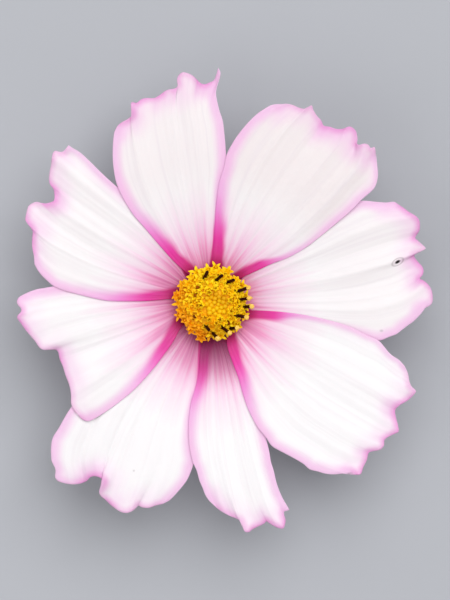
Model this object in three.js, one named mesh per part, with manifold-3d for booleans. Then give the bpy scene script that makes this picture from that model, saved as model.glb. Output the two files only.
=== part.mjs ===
// A cosmos flower, picked just under its head and lying face up on a surface.
// Millimetres, +Z up. The surface is z = 0, and the origin is under the middle of the bloom's outline.
//
// Petals and bracts are blades: thin shells laid over a grid. Its rows run from the blade's root to its
// tip, and its columns run from the left edge to the right edge, seen from the middle of the flower.
// The flower's axis is the vertical line through the middle of the disc. Plan positions are measured
// from it, with +Y towards petal 1, and "reach" is a distance from it.

import * as THREE from "three";
import { mergeVertices } from "three/addons/utils/BufferGeometryUtils.js";
import Module from "manifold-3d";

// Driving dimensions
const BLADE = 0.6; // thickness of a petal or bract
const SEAT_GAP = 0.3; // clearance between a piece and what carries it
const STEM_RADIUS = 1.05; // the peduncle just under the head
const STUB_LENGTH = 3.2; // from the cut to where the receptacle starts to widen
const RECEPTACLE_TOP = 8; // height of the flat top that carries the petals and the disc
const RECEPTACLE_RADIUS = 5.1;
const CLAW_REACH = 4.3; // where a petal starts
const CLAW_HALF_WIDTH = 1.1;
const BOWL_RISE = 8.3; // how far the petals would climb above their claws, if they were endless
const BOWL_LENGTH = 18; // the reach over which most of that climb happens
const LIFT_REACH = 6.5; // where overlapping petals are fully apart
const DISC_RADIUS = 6.5; // reach of the outermost floret mouths
const DISC_TOP = 14.4; // height of the middle of the dome of florets
const DISC_DROP = 2.4; // how much lower its edge is

const CLAW_HEIGHT = RECEPTACLE_TOP + SEAT_GAP + BLADE / 2;
const DISC_FOOT = RECEPTACLE_TOP + SEAT_GAP;

// Petal 1 points to +Y and the numbers run clockwise, seen from above.
// heading: the claw's direction in degrees from +X. lift: how far the left and right edges stand above
// (or, negative, lie below) the bowl, because one neighbour covers the next. droop: how far the tip
// sinks. folds: [place across from 0, left, to 1, right; height; width], a ridge or, negative, a groove.
// left, tip and right: the outline, with left and right going outwards and tip going from left to right.
const PETALS = [
  {
    heading: 109,
    lift: [0.8, -0.8],
    droop: 0.8,
    folds: [[0.3, 0.3, 0.1], [0.52, -0.35, 0.1], [0.72, 0.3, 0.08], [0.86, -0.25, 0.06]],
    left: [
      [-6.7, 7.4], [-9.4, 10.4], [-12.2, 13.7], [-14.4, 16.3], [-16.9, 20.9], [-17.6, 23.9],
      [-17.8, 26.6], [-17.7, 29.3],
    ],
    tip: [
      [-17.5, 30.8], [-16.9, 31.9], [-16.2, 32.5], [-15.1, 33.1], [-14.4, 33.7], [-14.2, 34.2],
      [-14.5, 35.6], [-14.4, 36.1], [-13.5, 36], [-12.6, 36.7], [-11.5, 36.9], [-10.3, 36.9],
      [-9.4, 37.4], [-8.1, 38.3], [-6.4, 38.7], [-6.1, 39.2], [-6.2, 40.3], [-5.9, 41],
      [-5.2, 41.5], [-4.5, 41.4], [-3.4, 40.9], [-2, 39.6], [-1.3, 39.4], [-0.4, 39.7],
      [0.4, 40.1], [0.9, 41.2], [1.2, 42.3],
    ],
    right: [
      [0.5, 8.1], [0.8, 11.3], [1, 14.9], [1.3, 18.5], [1.9, 22.1], [2.6, 24.8], [2.5, 28.4],
      [2.3, 30.6], [2, 32.9], [1.4, 34.7], [1, 36.4], [0.8, 37.8], [1, 39.1], [1.4, 40.3], [1.6, 41.4],
    ],
  },
  {
    heading: 63.5,
    lift: [0.9, 0.9],
    droop: 0.2,
    folds: [[0.36, 0.35, 0.07], [0.47, -0.3, 0.07], [0.62, 0.35, 0.08], [0.8, 0.6, 0.06], [0.88, -0.3, 0.05]],
    left: [
      [0.3, 7.4], [0.5, 11.3], [0.6, 14.9], [0.9, 18.5], [1.5, 22.1], [2.3, 24.8], [2.7, 26.7],
      [3.8, 28.8], [5, 30.6], [6.8, 32.7], [8.3, 34.1], [9.5, 34.9], [10.8, 35.6],
    ],
    tip: [
      [12.2, 35.7], [13.5, 35.8], [14.6, 35.6], [15.7, 35.1], [16.6, 34.9], [17.3, 35.1],
      [18, 35.5], [18.3, 34.7], [19.1, 33.5], [19.7, 32.9], [20.2, 31.9], [21.2, 31.7],
      [22.5, 31.3], [23.6, 31.3], [24.8, 31.7], [25.6, 31.3], [26, 30.8], [26.2, 29.7],
      [26.1, 28.6], [26.5, 28.4], [27.4, 28.6], [28.1, 28.4], [28.6, 27.8], [29.2, 28],
      [29.4, 27.5], [29.3, 26.3],
    ],
    right: [
      [5.9, 4.8], [8.1, 5.8], [10.9, 7.1], [13.8, 8.2], [16.7, 9.8], [19.6, 12], [22.4, 14.3],
      [25.3, 16.8], [26.8, 18.4], [29.3, 20.7], [29.8, 22.1], [29.9, 23.4], [29.7, 24.8],
    ],
  },
  {
    heading: 14.5,
    lift: [-0.9, -0.9],
    droop: 1.4,
    folds: [[0.2, 0.4, 0.08], [0.34, -0.35, 0.07], [0.5, 0.4, 0.07], [0.62, -0.35, 0.07], [0.8, 0.35, 0.07]],
    left: [
      [5.6, 5.6], [9.5, 7.9], [13.1, 10.3], [16.7, 12.6], [20.3, 15.3], [23.6, 17.3], [26.8, 18.4],
      [29.3, 18.2], [31.1, 18],
    ],
    tip: [
      [32, 18.1], [32.9, 18.2], [33.7, 17.7], [34.6, 17.1], [35.5, 16.4], [36.9, 15.5],
      [37.4, 14.8], [37.5, 13.9], [37.4, 13], [36.7, 11.7], [37.2, 11.2], [38, 10.4],
      [38.5, 9.8], [37.6, 9.3], [36.5, 8.6], [36.7, 8.1], [37.4, 7.2], [38, 6.5], [38.2, 5.8],
      [38, 5], [37.5, 4.4], [38.2, 4], [39.1, 3.2], [39.6, 2.3], [39.8, 1.3], [39.7, 0],
      [39.2, -0.5], [38.3, -0.8],
    ],
    right: [
      [7.6, -2.2], [11.3, -2.9], [16.7, -4], [22.1, -5.2], [27, -6.3], [30.1, -6.8], [32, -6.1],
      [33.3, -5.6], [34.2, -4.9], [35.1, -4.2], [36.2, -3.4], [36.9, -2.5], [37.4, -1.4],
    ],
  },
  {
    heading: -40.6,
    lift: [0.9, 0.9],
    droop: 0.2,
    folds: [[0.2, -0.3, 0.06], [0.33, 0.4, 0.08], [0.46, -0.35, 0.07], [0.62, 0.35, 0.08], [0.8, -0.3, 0.06]],
    left: [
      [7.2, -1.4], [11.3, -1.5], [15.8, -2], [20.3, -2.9], [24.7, -4.2], [27.7, -5.7], [30.1, -6.8],
      [31.1, -7.9], [32.2, -9.2], [33.8, -10.3],
    ],
    tip: [
      [34.7, -11.3], [35.3, -12.6], [35.6, -14.2], [36, -15.1], [36.7, -15.8], [36.4, -16.4],
      [35.3, -17.5], [33.8, -18.4], [33.1, -19.1], [33, -19.6], [33.2, -20.7], [33.5, -22],
      [33.6, -23.1], [32.9, -23.5], [31.1, -24.6], [31, -25.6], [30.4, -26.3], [29.2, -26.6],
      [28.3, -26.9], [27.9, -28.3], [27.2, -29.7], [26.8, -30.7], [26.1, -30.8], [25.4, -30.5],
      [23.9, -30.5],
    ],
    right: [
      [2.9, -8.1], [3.8, -10.8], [4.9, -13.8], [5.7, -16.7], [6.8, -19.7], [8.5, -22.7],
      [9.7, -24.1], [10.8, -25.7], [11.9, -26.4], [14, -27.5], [16.6, -29], [17.6, -29.9],
      [19.1, -30.3], [20.5, -30.7], [22.1, -30.8],
    ],
  },
  {
    heading: -84,
    lift: [-0.8, 0.8],
    droop: 0.8,
    folds: [[0.25, 0.3, 0.08], [0.45, -0.3, 0.08], [0.65, 0.3, 0.09]],
    left: [
      [3.6, -7.6], [5.2, -10.6], [6.7, -13.9], [7.9, -17.5], [9, -21.1], [9.8, -24.3],
      [10.4, -26.8], [10.7, -28.6], [11.2, -30.2], [11.6, -32], [12.2, -33.8], [13, -35.5],
      [13.6, -36.5],
    ],
    tip: [
      [14, -37.2], [13.5, -37.4], [13.1, -37.5], [13.1, -38.3], [13.3, -39.1], [13.2, -39.8],
      [12.9, -40.5], [11.9, -40.4], [11.2, -40.1], [10.4, -39.6], [9.9, -39.3], [9.5, -39.7],
      [8.5, -40.2], [7.4, -40.7], [6.7, -41.2], [6, -41.1], [5.6, -40.1], [5, -39.1],
      [3.2, -38.3], [1.6, -37.4], [0.5, -36.5], [-0.4, -35.6],
    ],
    right: [
      [-2, -8.5], [-2.3, -12.4], [-2.9, -15.3], [-3.7, -18], [-4.1, -21.1], [-4.1, -24.3],
      [-3.8, -26.8], [-3.3, -28.8], [-2.7, -30.1], [-2.2, -31.9], [-1.6, -33.3], [-1.1, -34.6],
    ],
  },
  {
    heading: -126.7,
    lift: [-0.9, -0.9],
    droop: 1.4,
    folds: [[0.3, 0.3, 0.08], [0.5, -0.35, 0.07], [0.66, 0.35, 0.08], [0.8, -0.4, 0.06]],
    left: [
      [-1.8, -8.1], [-2, -12.4], [-2.4, -15.3], [-3.2, -18], [-3.6, -21.1], [-3.6, -24.3],
      [-3.3, -26.8], [-3.1, -28.4], [-3.4, -29.5], [-4.3, -31.7], [-4.9, -32.6], [-5.8, -33.7],
      [-6.7, -34.7],
    ],
    tip: [
      [-7.6, -35.6], [-8.8, -36.2], [-10.1, -36.5], [-11.3, -36.9], [-12.6, -36.8],
      [-13.2, -36.5], [-13.6, -36.9], [-14.2, -37.4], [-15.3, -37.8], [-16.4, -37.6],
      [-18, -36.5], [-19.1, -35.5], [-20, -34.7], [-20.2, -34.2], [-19.8, -33.5], [-19.5, -32.8],
      [-19.4, -32.1], [-19.8, -31.6], [-20.4, -31.3], [-21.2, -31.2], [-22, -31.5],
      [-22.5, -32.1], [-23.8, -32.6], [-25, -32.7], [-26.5, -32.5], [-27.7, -32.1],
    ],
    right: [
      [-7.2, -4], [-9.7, -5.6], [-13, -7.9], [-16.6, -10.6], [-20.2, -13.5], [-23.4, -16.6],
      [-25.5, -19.1], [-26.5, -20.7], [-27.5, -22.5], [-28.6, -24.3], [-28.9, -25.9],
      [-28.9, -27.4], [-28.8, -28.5], [-28.4, -29.3], [-28.1, -30.1], [-28.2, -31.4],
    ],
  },
  {
    heading: 193.4,
    lift: [0.8, -0.8],
    droop: 0.8,
    folds: [[0.25, 0.3, 0.08], [0.45, -0.45, 0.07], [0.6, 0.3, 0.08], [0.78, 0.3, 0.07]],
    left: [
      [-5.8, -4.9], [-7.1, -7.2], [-8.6, -9.3], [-10.4, -11.7], [-12.5, -14.1], [-14.6, -16.2],
      [-16.7, -17.9], [-18.8, -19.4], [-20.2, -20.3],
    ],
    tip: [
      [-21.4, -21], [-22.3, -21.3], [-23.2, -21], [-24.1, -20.1], [-25, -18.9], [-25.3, -18],
      [-25.3, -16.9], [-25.4, -15.8], [-25.7, -14.6], [-26.3, -13.1], [-26.8, -11.5],
      [-27.4, -10.1], [-27.7, -8.8], [-28.1, -8.4], [-29.2, -8.4], [-30.4, -8.4], [-31, -8],
      [-31.7, -7], [-32.6, -5.9], [-33.5, -4.8], [-34.4, -3.5], [-34.9, -2.8], [-34.9, -2.3],
      [-34.5, -1.9], [-34.2, -1.4], [-34.3, -0.9], [-34.7, -0.5], [-35, 0], [-35, 0.5],
      [-34.7, 1], [-34, 1.4],
    ],
    right: [
      [-7.2, 1.7], [-10.3, 2.1], [-14.8, 2.7], [-20.2, 3.2], [-24.7, 3.4], [-28.4, 3],
      [-30.1, 2.7], [-31.3, 2.5], [-32.8, 2],
    ],
  },
  {
    heading: 149.6,
    lift: [0.8, -0.8],
    droop: 0.8,
    folds: [[0.28, 0.3, 0.08], [0.42, -0.3, 0.07], [0.58, 0.4, 0.07], [0.74, -0.3, 0.07]],
    left: [
      [-7.4, 0.8], [-11.3, 0.4], [-14.3, 0.3], [-18.8, 0.4], [-21.4, 0.9], [-24.7, 1.7],
      [-26.5, 2.2], [-28.4, 3], [-29.7, 4.1], [-30.6, 5], [-31.3, 5.9],
    ],
    tip: [
      [-31.9, 7], [-32, 8.5], [-32.3, 10.1], [-32.3, 11.7], [-32.2, 12.9], [-32.6, 13.7],
      [-33.1, 14.3], [-33.5, 15], [-33.4, 15.8], [-33.2, 16.7], [-32.9, 17.5], [-32.2, 18],
      [-31.5, 18.2], [-30.6, 18], [-29.9, 17.9], [-29, 18.1], [-28.4, 18.4], [-28.3, 19.4],
      [-28.5, 20.6], [-29.1, 21.4], [-29.3, 22.2], [-29.2, 23.4], [-28.9, 24.8], [-28.7, 26.3],
      [-28.5, 27.1], [-28.1, 27.4], [-27.4, 27.2], [-26.7, 27.3], [-26.2, 27.8], [-25.7, 28.4],
    ],
    right: [
      [-5.6, 7.9], [-7, 10.3], [-9.4, 13.5], [-12.1, 16.4], [-14.8, 18.9], [-16.9, 20.8],
      [-18.4, 22.1], [-20.2, 23.8], [-22, 25.6], [-23.8, 27.2], [-25.2, 28],
    ],
  },
];
const PETAL_ROWS = [0, 0.06, 0.14, 0.28, 0.46, 0.64, 0.81, 0.93, 1];
const TOOTH_FADE = 4; // the power of the row at which the teeth of the tip fade into the petal

// Bracts: [direction in degrees, reach of the tip, height of its underside above the surface].
// Four of the green outer ones touch down, and the flower rests on them and on the cut of its stem.
const OUTER_BRACTS = [
  [20, 12.3, 0], [64, 11.6, 2.2], [112, 12.1, 0], [157, 11.2, 1.5],
  [203, 12.5, 0], [246, 11.7, 2.6], [294, 12.2, 0], [339, 11.3, 1.3],
];
const OUTER_BRACT_HALF_WIDTH = 1.2;
const INNER_BRACT_FIRST = 42; // direction of inner bract 1, in degrees; the rest follow every 45
const INNER_BRACT_HALF_WIDTH = 2.2;
const BRACT_ROWS = [0, 0.14, 0.28, 0.44, 0.6, 0.74, 0.87, 1];
const BRACT_TIP_HALF_WIDTH = 0.35;
const FOOT_SNAP = 0.12; // an underside this near the surface lies flat on it

// Disc florets. The inner ones are still shut, and the open ones stand in a golden-angle spiral round
// those in TUBED, whose tube of anthers stands out. TUBED gives, in plan, where each tube starts and ends.
const SPIRAL_FLORETS = 56;
const SHUT_FLORETS = 19;
const GOLDEN_ANGLE = 137.508;
const TUBED = [
  [-1.4, 4.5, -0.8, 5.5], [0.9, 4.2, 1.8, 4.9], [2.8, 3.7, 3.9, 4.1], [4.4, 2, 6.2, 2.6],
  [5.1, 0.6, 6.4, 0.8], [5.7, -0.7, 6.6, -0.6], [4.3, -2.2, 5.9, -2.5], [2.7, -3.5, 3.5, -3.4],
  [3.5, -4.6, 4.4, -4.5], [1.9, -4.4, 3, -5.2], [0.2, -5.4, 0.9, -6.2], [-1, -4.2, -0.5, -4.8],
];
const FLORET_SPACING = 1.15; // no open floret of the spiral stands nearer than this to one of TUBED
const DISC_LEAN = 48; // degrees that the outermost florets lean outwards
const FLORET_LENGTH = 3;
const FLORET_RADIUS = 0.45;
const LOBE_RADIUS = 1.1;
const NOTCH_SHARE = 0.55; // the mouth's radius between two lobes, as a share of LOBE_RADIUS
const ANTHER_RADIUS = 0.27;
const ANTHER_LENGTH = 2; // how much of it stands out
const POLLEN_RADIUS = 0.42;

const wasm = await Module();
wasm.setup();

const smoothstep = (x) => THREE.MathUtils.smoothstep(x, 0, 1);
const lerp = THREE.MathUtils.lerp;

// A hill of height 1 over place 0, one width wide to each side.
const hill = (distance, width) => Math.exp(-((distance / width) ** 2));

// Height of the bowl that the petals make, at a reach.
const bowl = (reach) => CLAW_HEIGHT + BOWL_RISE * (1 - Math.exp(-(reach - CLAW_REACH) / BOWL_LENGTH));

// A smooth curve in the plan through [x, y] points.
function planCurve(points) {
  return new THREE.CatmullRomCurve3(points.map(([x, y]) => new THREE.Vector3(x, y, 0)), false, "centripetal");
}

// A corner of a petal's claw; side is 1 on the left and -1 on the right.
function clawCorner(heading, side) {
  const turn = THREE.MathUtils.degToRad(heading);
  return [
    CLAW_REACH * Math.cos(turn) - side * CLAW_HALF_WIDTH * Math.sin(turn),
    CLAW_REACH * Math.sin(turn) + side * CLAW_HALF_WIDTH * Math.cos(turn),
  ];
}

// The grid of points on the middle surface of a petal.
function petalGrid({ heading, lift, droop, folds, left, tip, right }) {
  const leftEdge = planCurve([clawCorner(heading, 1), ...left, tip[0]]);
  const rightEdge = planCurve([clawCorner(heading, -1), ...right, tip.at(-1)]);
  const edge = tip.map(([x, y]) => new THREE.Vector3(x, y, 0));

  // Each tip point's place across the petal, from 0 to 1, by the length of the edge.
  const lengths = [0];
  edge.slice(1).forEach((point, k) => lengths.push(lengths[k] + point.distanceTo(edge[k])));
  const places = lengths.map((length) => length / lengths.at(-1));

  // The tip without its teeth is the chord between its ends, bulged by one arch.
  const arch = (place) => 4 * place * (1 - place);
  const chord = (place) => edge[0].clone().lerp(edge.at(-1), place);
  const bulge = new THREE.Vector3();
  let weight = 0;
  places.forEach((place, k) => {
    bulge.addScaledVector(edge[k].clone().sub(chord(place)), arch(place));
    weight += arch(place) ** 2;
  });
  bulge.divideScalar(weight);

  const points = PETAL_ROWS.flatMap((row) => {
    const from = leftEdge.getPointAt(row);
    const to = rightEdge.getPointAt(row);
    return places.map((place, k) => {
      const tooth = edge[k].clone().sub(chord(place)).addScaledVector(bulge, -arch(place));
      const point = from.clone().lerp(to, place);
      point.addScaledVector(bulge, row * arch(place)).addScaledVector(tooth, row ** TOOTH_FADE);
      const reach = Math.hypot(point.x, point.y);
      const apart = smoothstep((reach - CLAW_REACH) / (LIFT_REACH - CLAW_REACH));
      const folded = folds.reduce((sum, [at, height, width]) => sum + height * hill(place - at, width), 0);
      point.z = bowl(reach) + apart * lerp(...lift, place) - droop * row ** 4 + folded * smoothstep(row);
      return point;
    });
  });
  return { points, columns: places.length - 1 };
}

// The grid of a bract: a path out from the receptacle, widened to both sides.
// path is in [reach, height]; gutter is how far the edges stand above the midrib.
function bractGrid(direction, path, halfWidth, gutter) {
  const spine = new THREE.CatmullRomCurve3(
    path.map(([reach, height]) => new THREE.Vector3(reach, 0, height)),
    false,
    "centripetal",
  );
  const turn = THREE.MathUtils.degToRad(direction);
  const points = BRACT_ROWS.flatMap((row) => {
    const middle = spine.getPointAt(row);
    const half = lerp(halfWidth(row), BRACT_TIP_HALF_WIDTH, row ** 3);
    return [1, 0, -1].map((side) => {
      const raised = gutter * Math.abs(side) * (1 - row);
      const point = new THREE.Vector3(middle.x, side * half, Math.max(middle.z, BLADE / 2) + raised);
      return point.applyAxisAngle(new THREE.Vector3(0, 0, 1), turn);
    });
  });
  return { points, columns: 2 };
}

// A closed shell of the blade's thickness round a grid. Both faces are split into triangles alike.
function blade({ points, columns }) {
  const width = columns + 1;
  const rows = points.length / width - 1;
  const upper = [];
  for (let row = 0; row < rows; row++)
    for (let column = 0; column < columns; column++) {
      const a = row * width + column;
      const [b, c, d] = [a + 1, a + width, a + width + 1];
      upper.push([a, b, c], [b, d, c]);
    }
  const sheet = new THREE.BufferGeometry().setFromPoints(points).setIndex(upper.flat());
  sheet.computeVertexNormals();
  const normals = sheet.getAttribute("normal");
  const faceOf = (side) =>
    points.map((point, k) => {
      const normal = new THREE.Vector3().fromBufferAttribute(normals, k);
      const moved = point.clone().addScaledVector(normal, (side * BLADE) / 2);
      if (moved.z < FOOT_SNAP) moved.z = 0;
      return moved;
    });

  // The rim's grid points, anticlockwise seen from above.
  const steps = (count, of) => Array.from({ length: count }, (_, k) => of(k));
  const rim = [
    ...steps(columns, (k) => k),
    ...steps(rows, (k) => k * width + columns),
    ...steps(columns, (k) => rows * width + columns - k),
    ...steps(rows, (k) => (rows - k) * width),
  ];
  const under = points.length; // the first vertex of the lower face
  const walls = rim.flatMap((from, k) => {
    const to = rim[(k + 1) % rim.length];
    return [[under + from, under + to, to], [under + from, to, from]];
  });
  const lower = upper.map(([a, b, c]) => [under + a, under + c, under + b]);
  return new THREE.BufferGeometry()
    .setFromPoints([...faceOf(1), ...faceOf(-1)])
    .setIndex([...upper, ...lower, ...walls].flat());
}

// A solid turned about the +Z axis from [radius, height] points.
function turned(profile, sides) {
  const points = profile.map(([radius, height]) => new THREE.Vector2(radius, height));
  return new THREE.LatheGeometry(points, sides).rotateX(Math.PI / 2);
}

function solidOf(geometry) {
  const bare = geometry.clone();
  bare.deleteAttribute("normal");
  bare.deleteAttribute("uv");
  const merged = mergeVertices(bare, 1e-3);

  // A turned solid's triangles at its poles have no area once the pole is one vertex.
  const corners = Array.from(merged.index.array);
  const triangles = corners.flatMap((_, k) => (k % 3 ? [] : [corners.slice(k, k + 3)]));
  const real = triangles.filter((triangle) => new Set(triangle).size === 3);
  return new wasm.Manifold(
    new wasm.Mesh({
      numProp: 3,
      vertProperties: merged.getAttribute("position").array,
      triVerts: new Uint32Array(real.flat()),
    }),
  );
}

function geometryOf(solid) {
  const { vertProperties, triVerts } = solid.getMesh();
  return new THREE.BufferGeometry()
    .setAttribute("position", new THREE.BufferAttribute(vertProperties, 3))
    .setIndex(new THREE.BufferAttribute(triVerts, 1));
}

// An open floret: a tube whose mouth flares into five lobes. Its mouth is at the origin.
function openFloret() {
  const mouth = 3; // the profile point that is the mouth's rim
  const profile = [
    [0, -FLORET_LENGTH], [FLORET_RADIUS, -FLORET_LENGTH], [FLORET_RADIUS, -0.8], [LOBE_RADIUS, 0], [0, -0.5],
  ];
  const shape = turned(profile, 10);
  const position = shape.getAttribute("position");
  for (let k = mouth; k < position.count; k += profile.length) {
    const side = (k - mouth) / profile.length;
    const share = side % 2 ? NOTCH_SHARE : 1;
    position.setXY(k, position.getX(k) * share, position.getY(k) * share);
  }
  return shape;
}

// The tube of anthers that stands in an open floret, with pollen pushed out of its top.
function antherTube() {
  const top = ANTHER_LENGTH;
  return turned(
    [
      [0, -1], [ANTHER_RADIUS, -1], [ANTHER_RADIUS, top], [POLLEN_RADIUS, top + POLLEN_RADIUS],
      [0, top + 2 * POLLEN_RADIUS],
    ],
    6,
  );
}

function shutFloret() {
  return turned([[0, -FLORET_LENGTH], [FLORET_RADIUS, -FLORET_LENGTH], [FLORET_RADIUS * 1.25, -0.3], [0, 0.35]], 6);
}

// Height of the dome that the floret mouths make, at a reach.
const dome = (reach) => DISC_TOP - DISC_DROP * (reach / DISC_RADIUS) ** 2.2;

// The placing of a shape made along +Z: its origin on the dome at [x, y], its axis along a direction.
function onDome([x, y], axis) {
  const turn = new THREE.Quaternion().setFromUnitVectors(new THREE.Vector3(0, 0, 1), axis.normalize());
  const place = new THREE.Vector3(x, y, dome(Math.hypot(x, y)));
  return new THREE.Matrix4().compose(place, turn, new THREE.Vector3(1, 1, 1));
}

// The direction in which a floret at [x, y] grows: straight up in the middle, outwards at the edge.
function growth([x, y]) {
  const reach = Math.hypot(x, y);
  const lean = THREE.MathUtils.degToRad(DISC_LEAN * (reach / DISC_RADIUS) ** 1.5);
  return new THREE.Vector3((x / reach) * Math.sin(lean), (y / reach) * Math.sin(lean), Math.cos(lean));
}

// The disc: florets that stand out of a core, all grown together.
function discFlorets() {
  const core = turned(
    [
      [0, DISC_FOOT], [3.9, DISC_FOOT], [3.9, 9.2], [4.5, 10.2], [4.4, 11.4], [3.4, 12.6],
      [2, 13.3], [0, 13.5],
    ],
    20,
  );
  const [open, anthers, shut] = [openFloret(), antherTube(), shutFloret()].map(solidOf);
  const place = (shape, at, axis) => shape.transform(onDome(at, axis).elements);
  const planted = [];
  for (let k = 0; k < SPIRAL_FLORETS; k++) {
    const reach = DISC_RADIUS * Math.sqrt((k + 0.5) / SPIRAL_FLORETS);
    const turn = THREE.MathUtils.degToRad(k * GOLDEN_ANGLE);
    const at = [reach * Math.cos(turn), reach * Math.sin(turn)];
    const crowded = TUBED.some(([x, y]) => Math.hypot(x - at[0], y - at[1]) < FLORET_SPACING);
    if (k < SHUT_FLORETS) planted.push(place(shut, at, growth(at)));
    else if (!crowded) planted.push(place(open, at, growth(at)));
  }
  for (const [x, y, tipX, tipY] of TUBED) {
    const across = Math.hypot(tipX - x, tipY - y);
    const up = Math.sqrt(ANTHER_LENGTH ** 2 - across ** 2);
    planted.push(place(open, [x, y], growth([x, y])));
    planted.push(place(anthers, [x, y], new THREE.Vector3(tipX - x, tipY - y, up)));
  }
  return geometryOf(planted.reduce((head, floret) => head.add(floret), solidOf(core)));
}

// The stub of stem, flared into the receptacle.
function receptacleAndStem() {
  return turned(
    [
      [0, 0], [STEM_RADIUS * 1.06, 0], [STEM_RADIUS, 0.6], [STEM_RADIUS, STUB_LENGTH], [1.35, 4],
      [2.4, 4.8], [3.3, 5.7], [4, 6.6], [RECEPTACLE_RADIUS - 0.3, 7.6],
      [RECEPTACLE_RADIUS, RECEPTACLE_TOP], [0, RECEPTACLE_TOP],
    ],
    20,
  );
}

function outerBract([direction, reach, rise]) {
  const end = rise + BLADE / 2;
  const path = [
    [3.15, 4.9], [4.6, 5.2], [6.5, lerp(4.7, 5.2, rise / 3)], [8.8, lerp(2.7, 4.8, rise / 3)],
    [reach - 2.4, end + 0.4], [reach - 1.7, end], [reach, end],
  ];
  const halfWidth = (row) => OUTER_BRACT_HALF_WIDTH * (0.75 + 0.25 * Math.sin(Math.PI * row)) * (1 - 0.55 * row);
  return bractGrid(direction, path, halfWidth, 0.35);
}

function innerBract(direction) {
  const path = [[4.45, 6.4], [5.6, 7.2], [7.8, 8.05], [10, 8.55], [11.6, 8.8]];
  const halfWidth = (row) => INNER_BRACT_HALF_WIDTH * (0.62 + 0.38 * Math.sin(Math.PI * Math.min(1, row * 1.1)));
  return bractGrid(direction, path, halfWidth, 0);
}

const MATERIALS = {
  petal: new THREE.MeshStandardMaterial({ color: 0xf7e9f1, roughness: 0.55, metalness: 0 }),
  disc: new THREE.MeshStandardMaterial({ color: 0xe8a80c, roughness: 0.75, metalness: 0 }),
  green: new THREE.MeshStandardMaterial({ color: 0x5c7d36, roughness: 0.6, metalness: 0 }),
  membrane: new THREE.MeshStandardMaterial({ color: 0xb7b46a, roughness: 0.5, metalness: 0 }),
};

const flower = new THREE.Group();

function addPiece(name, geometry, material) {
  const piece = new THREE.Mesh(geometry, material);
  piece.name = name;
  flower.add(piece);
}

addPiece("receptacle_and_stem", receptacleAndStem(), MATERIALS.green);
addPiece("disc_florets", discFlorets(), MATERIALS.disc);
PETALS.forEach((petal, k) => addPiece(`petal_${k + 1}`, blade(petalGrid(petal)), MATERIALS.petal));
OUTER_BRACTS.forEach((bract, k) => addPiece(`outer_bract_${k + 1}`, blade(outerBract(bract)), MATERIALS.green));
OUTER_BRACTS.forEach((_, k) =>
  addPiece(`inner_bract_${k + 1}`, blade(innerBract(INNER_BRACT_FIRST + 45 * k)), MATERIALS.membrane),
);

// The outline's middle goes over the origin.
const middle = new THREE.Box3().setFromObject(flower).getCenter(new THREE.Vector3());
flower.position.set(-middle.x, -middle.y, 0);

export default flower;
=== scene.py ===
"""A cosmos bloom, picked just under its head and lying face up: its petals, disc, bracts and stub of stem.

Plan positions and heights are written in millimetres, measured from the flower's own axis, the vertical
line through the middle of the disc, and from the surface that it lies on. +Y points towards petal 1.
"Reach" is a distance from the axis.
"""

import math
import random
from functools import reduce

import bpy
from bpy.props import FloatProperty, FloatVectorProperty, IntProperty, PointerProperty
from mathutils import Matrix, Vector, kdtree, noise


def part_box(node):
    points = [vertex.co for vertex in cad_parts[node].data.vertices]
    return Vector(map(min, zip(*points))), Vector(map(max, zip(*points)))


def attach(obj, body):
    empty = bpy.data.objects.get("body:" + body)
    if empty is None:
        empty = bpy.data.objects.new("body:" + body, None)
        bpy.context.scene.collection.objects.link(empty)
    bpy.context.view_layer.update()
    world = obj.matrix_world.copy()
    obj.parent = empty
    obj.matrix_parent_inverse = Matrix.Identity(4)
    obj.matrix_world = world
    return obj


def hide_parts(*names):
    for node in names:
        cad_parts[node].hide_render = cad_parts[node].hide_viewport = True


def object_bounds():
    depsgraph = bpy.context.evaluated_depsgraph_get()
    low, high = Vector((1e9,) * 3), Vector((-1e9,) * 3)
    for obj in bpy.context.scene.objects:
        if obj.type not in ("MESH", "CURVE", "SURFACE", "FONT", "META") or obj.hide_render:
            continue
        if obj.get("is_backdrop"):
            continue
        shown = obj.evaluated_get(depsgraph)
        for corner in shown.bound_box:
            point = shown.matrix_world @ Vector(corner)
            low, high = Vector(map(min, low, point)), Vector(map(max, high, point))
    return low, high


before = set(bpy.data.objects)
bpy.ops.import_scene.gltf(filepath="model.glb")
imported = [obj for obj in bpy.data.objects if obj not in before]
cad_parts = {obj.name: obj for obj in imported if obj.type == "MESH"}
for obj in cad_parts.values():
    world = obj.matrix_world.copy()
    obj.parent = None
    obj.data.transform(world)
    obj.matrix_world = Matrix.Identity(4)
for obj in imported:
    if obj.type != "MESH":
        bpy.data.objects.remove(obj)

bl_info = {
    "name": "Cosmos Bloom",
    "version": (1, 0, 0),
    "blender": (4, 5, 0),
    "location": "View3D > Sidebar > Cosmos",
    "description": "Models a picked cosmos bloom, piece by piece",
    "category": "Add Mesh",
}

MM = 0.001
CAD_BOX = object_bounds()
STUB_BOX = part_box("receptacle_and_stem")
AXIS = Vector(((STUB_BOX[0].x + STUB_BOX[1].x) / 2, (STUB_BOX[0].y + STUB_BOX[1].y) / 2, 0))
UP = Vector((0, 0, 1))

# Sizes that the pieces share, in millimetres
RECEPTACLE_TOP = STUB_BOX[1].z / MM
SEAT_GAP = 0.3
CAD_BLADE = 0.6
CLAW_HEIGHT = RECEPTACLE_TOP + SEAT_GAP + CAD_BLADE / 2
CLAW_REACH = 4.3
CLAW_HALF_WIDTH = 1.1
LIFT_REACH = 6.5  # where two petals that overlap are fully apart
CURVE_STEP = 0.1  # the most that two neighbouring points of a curve are apart

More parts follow.
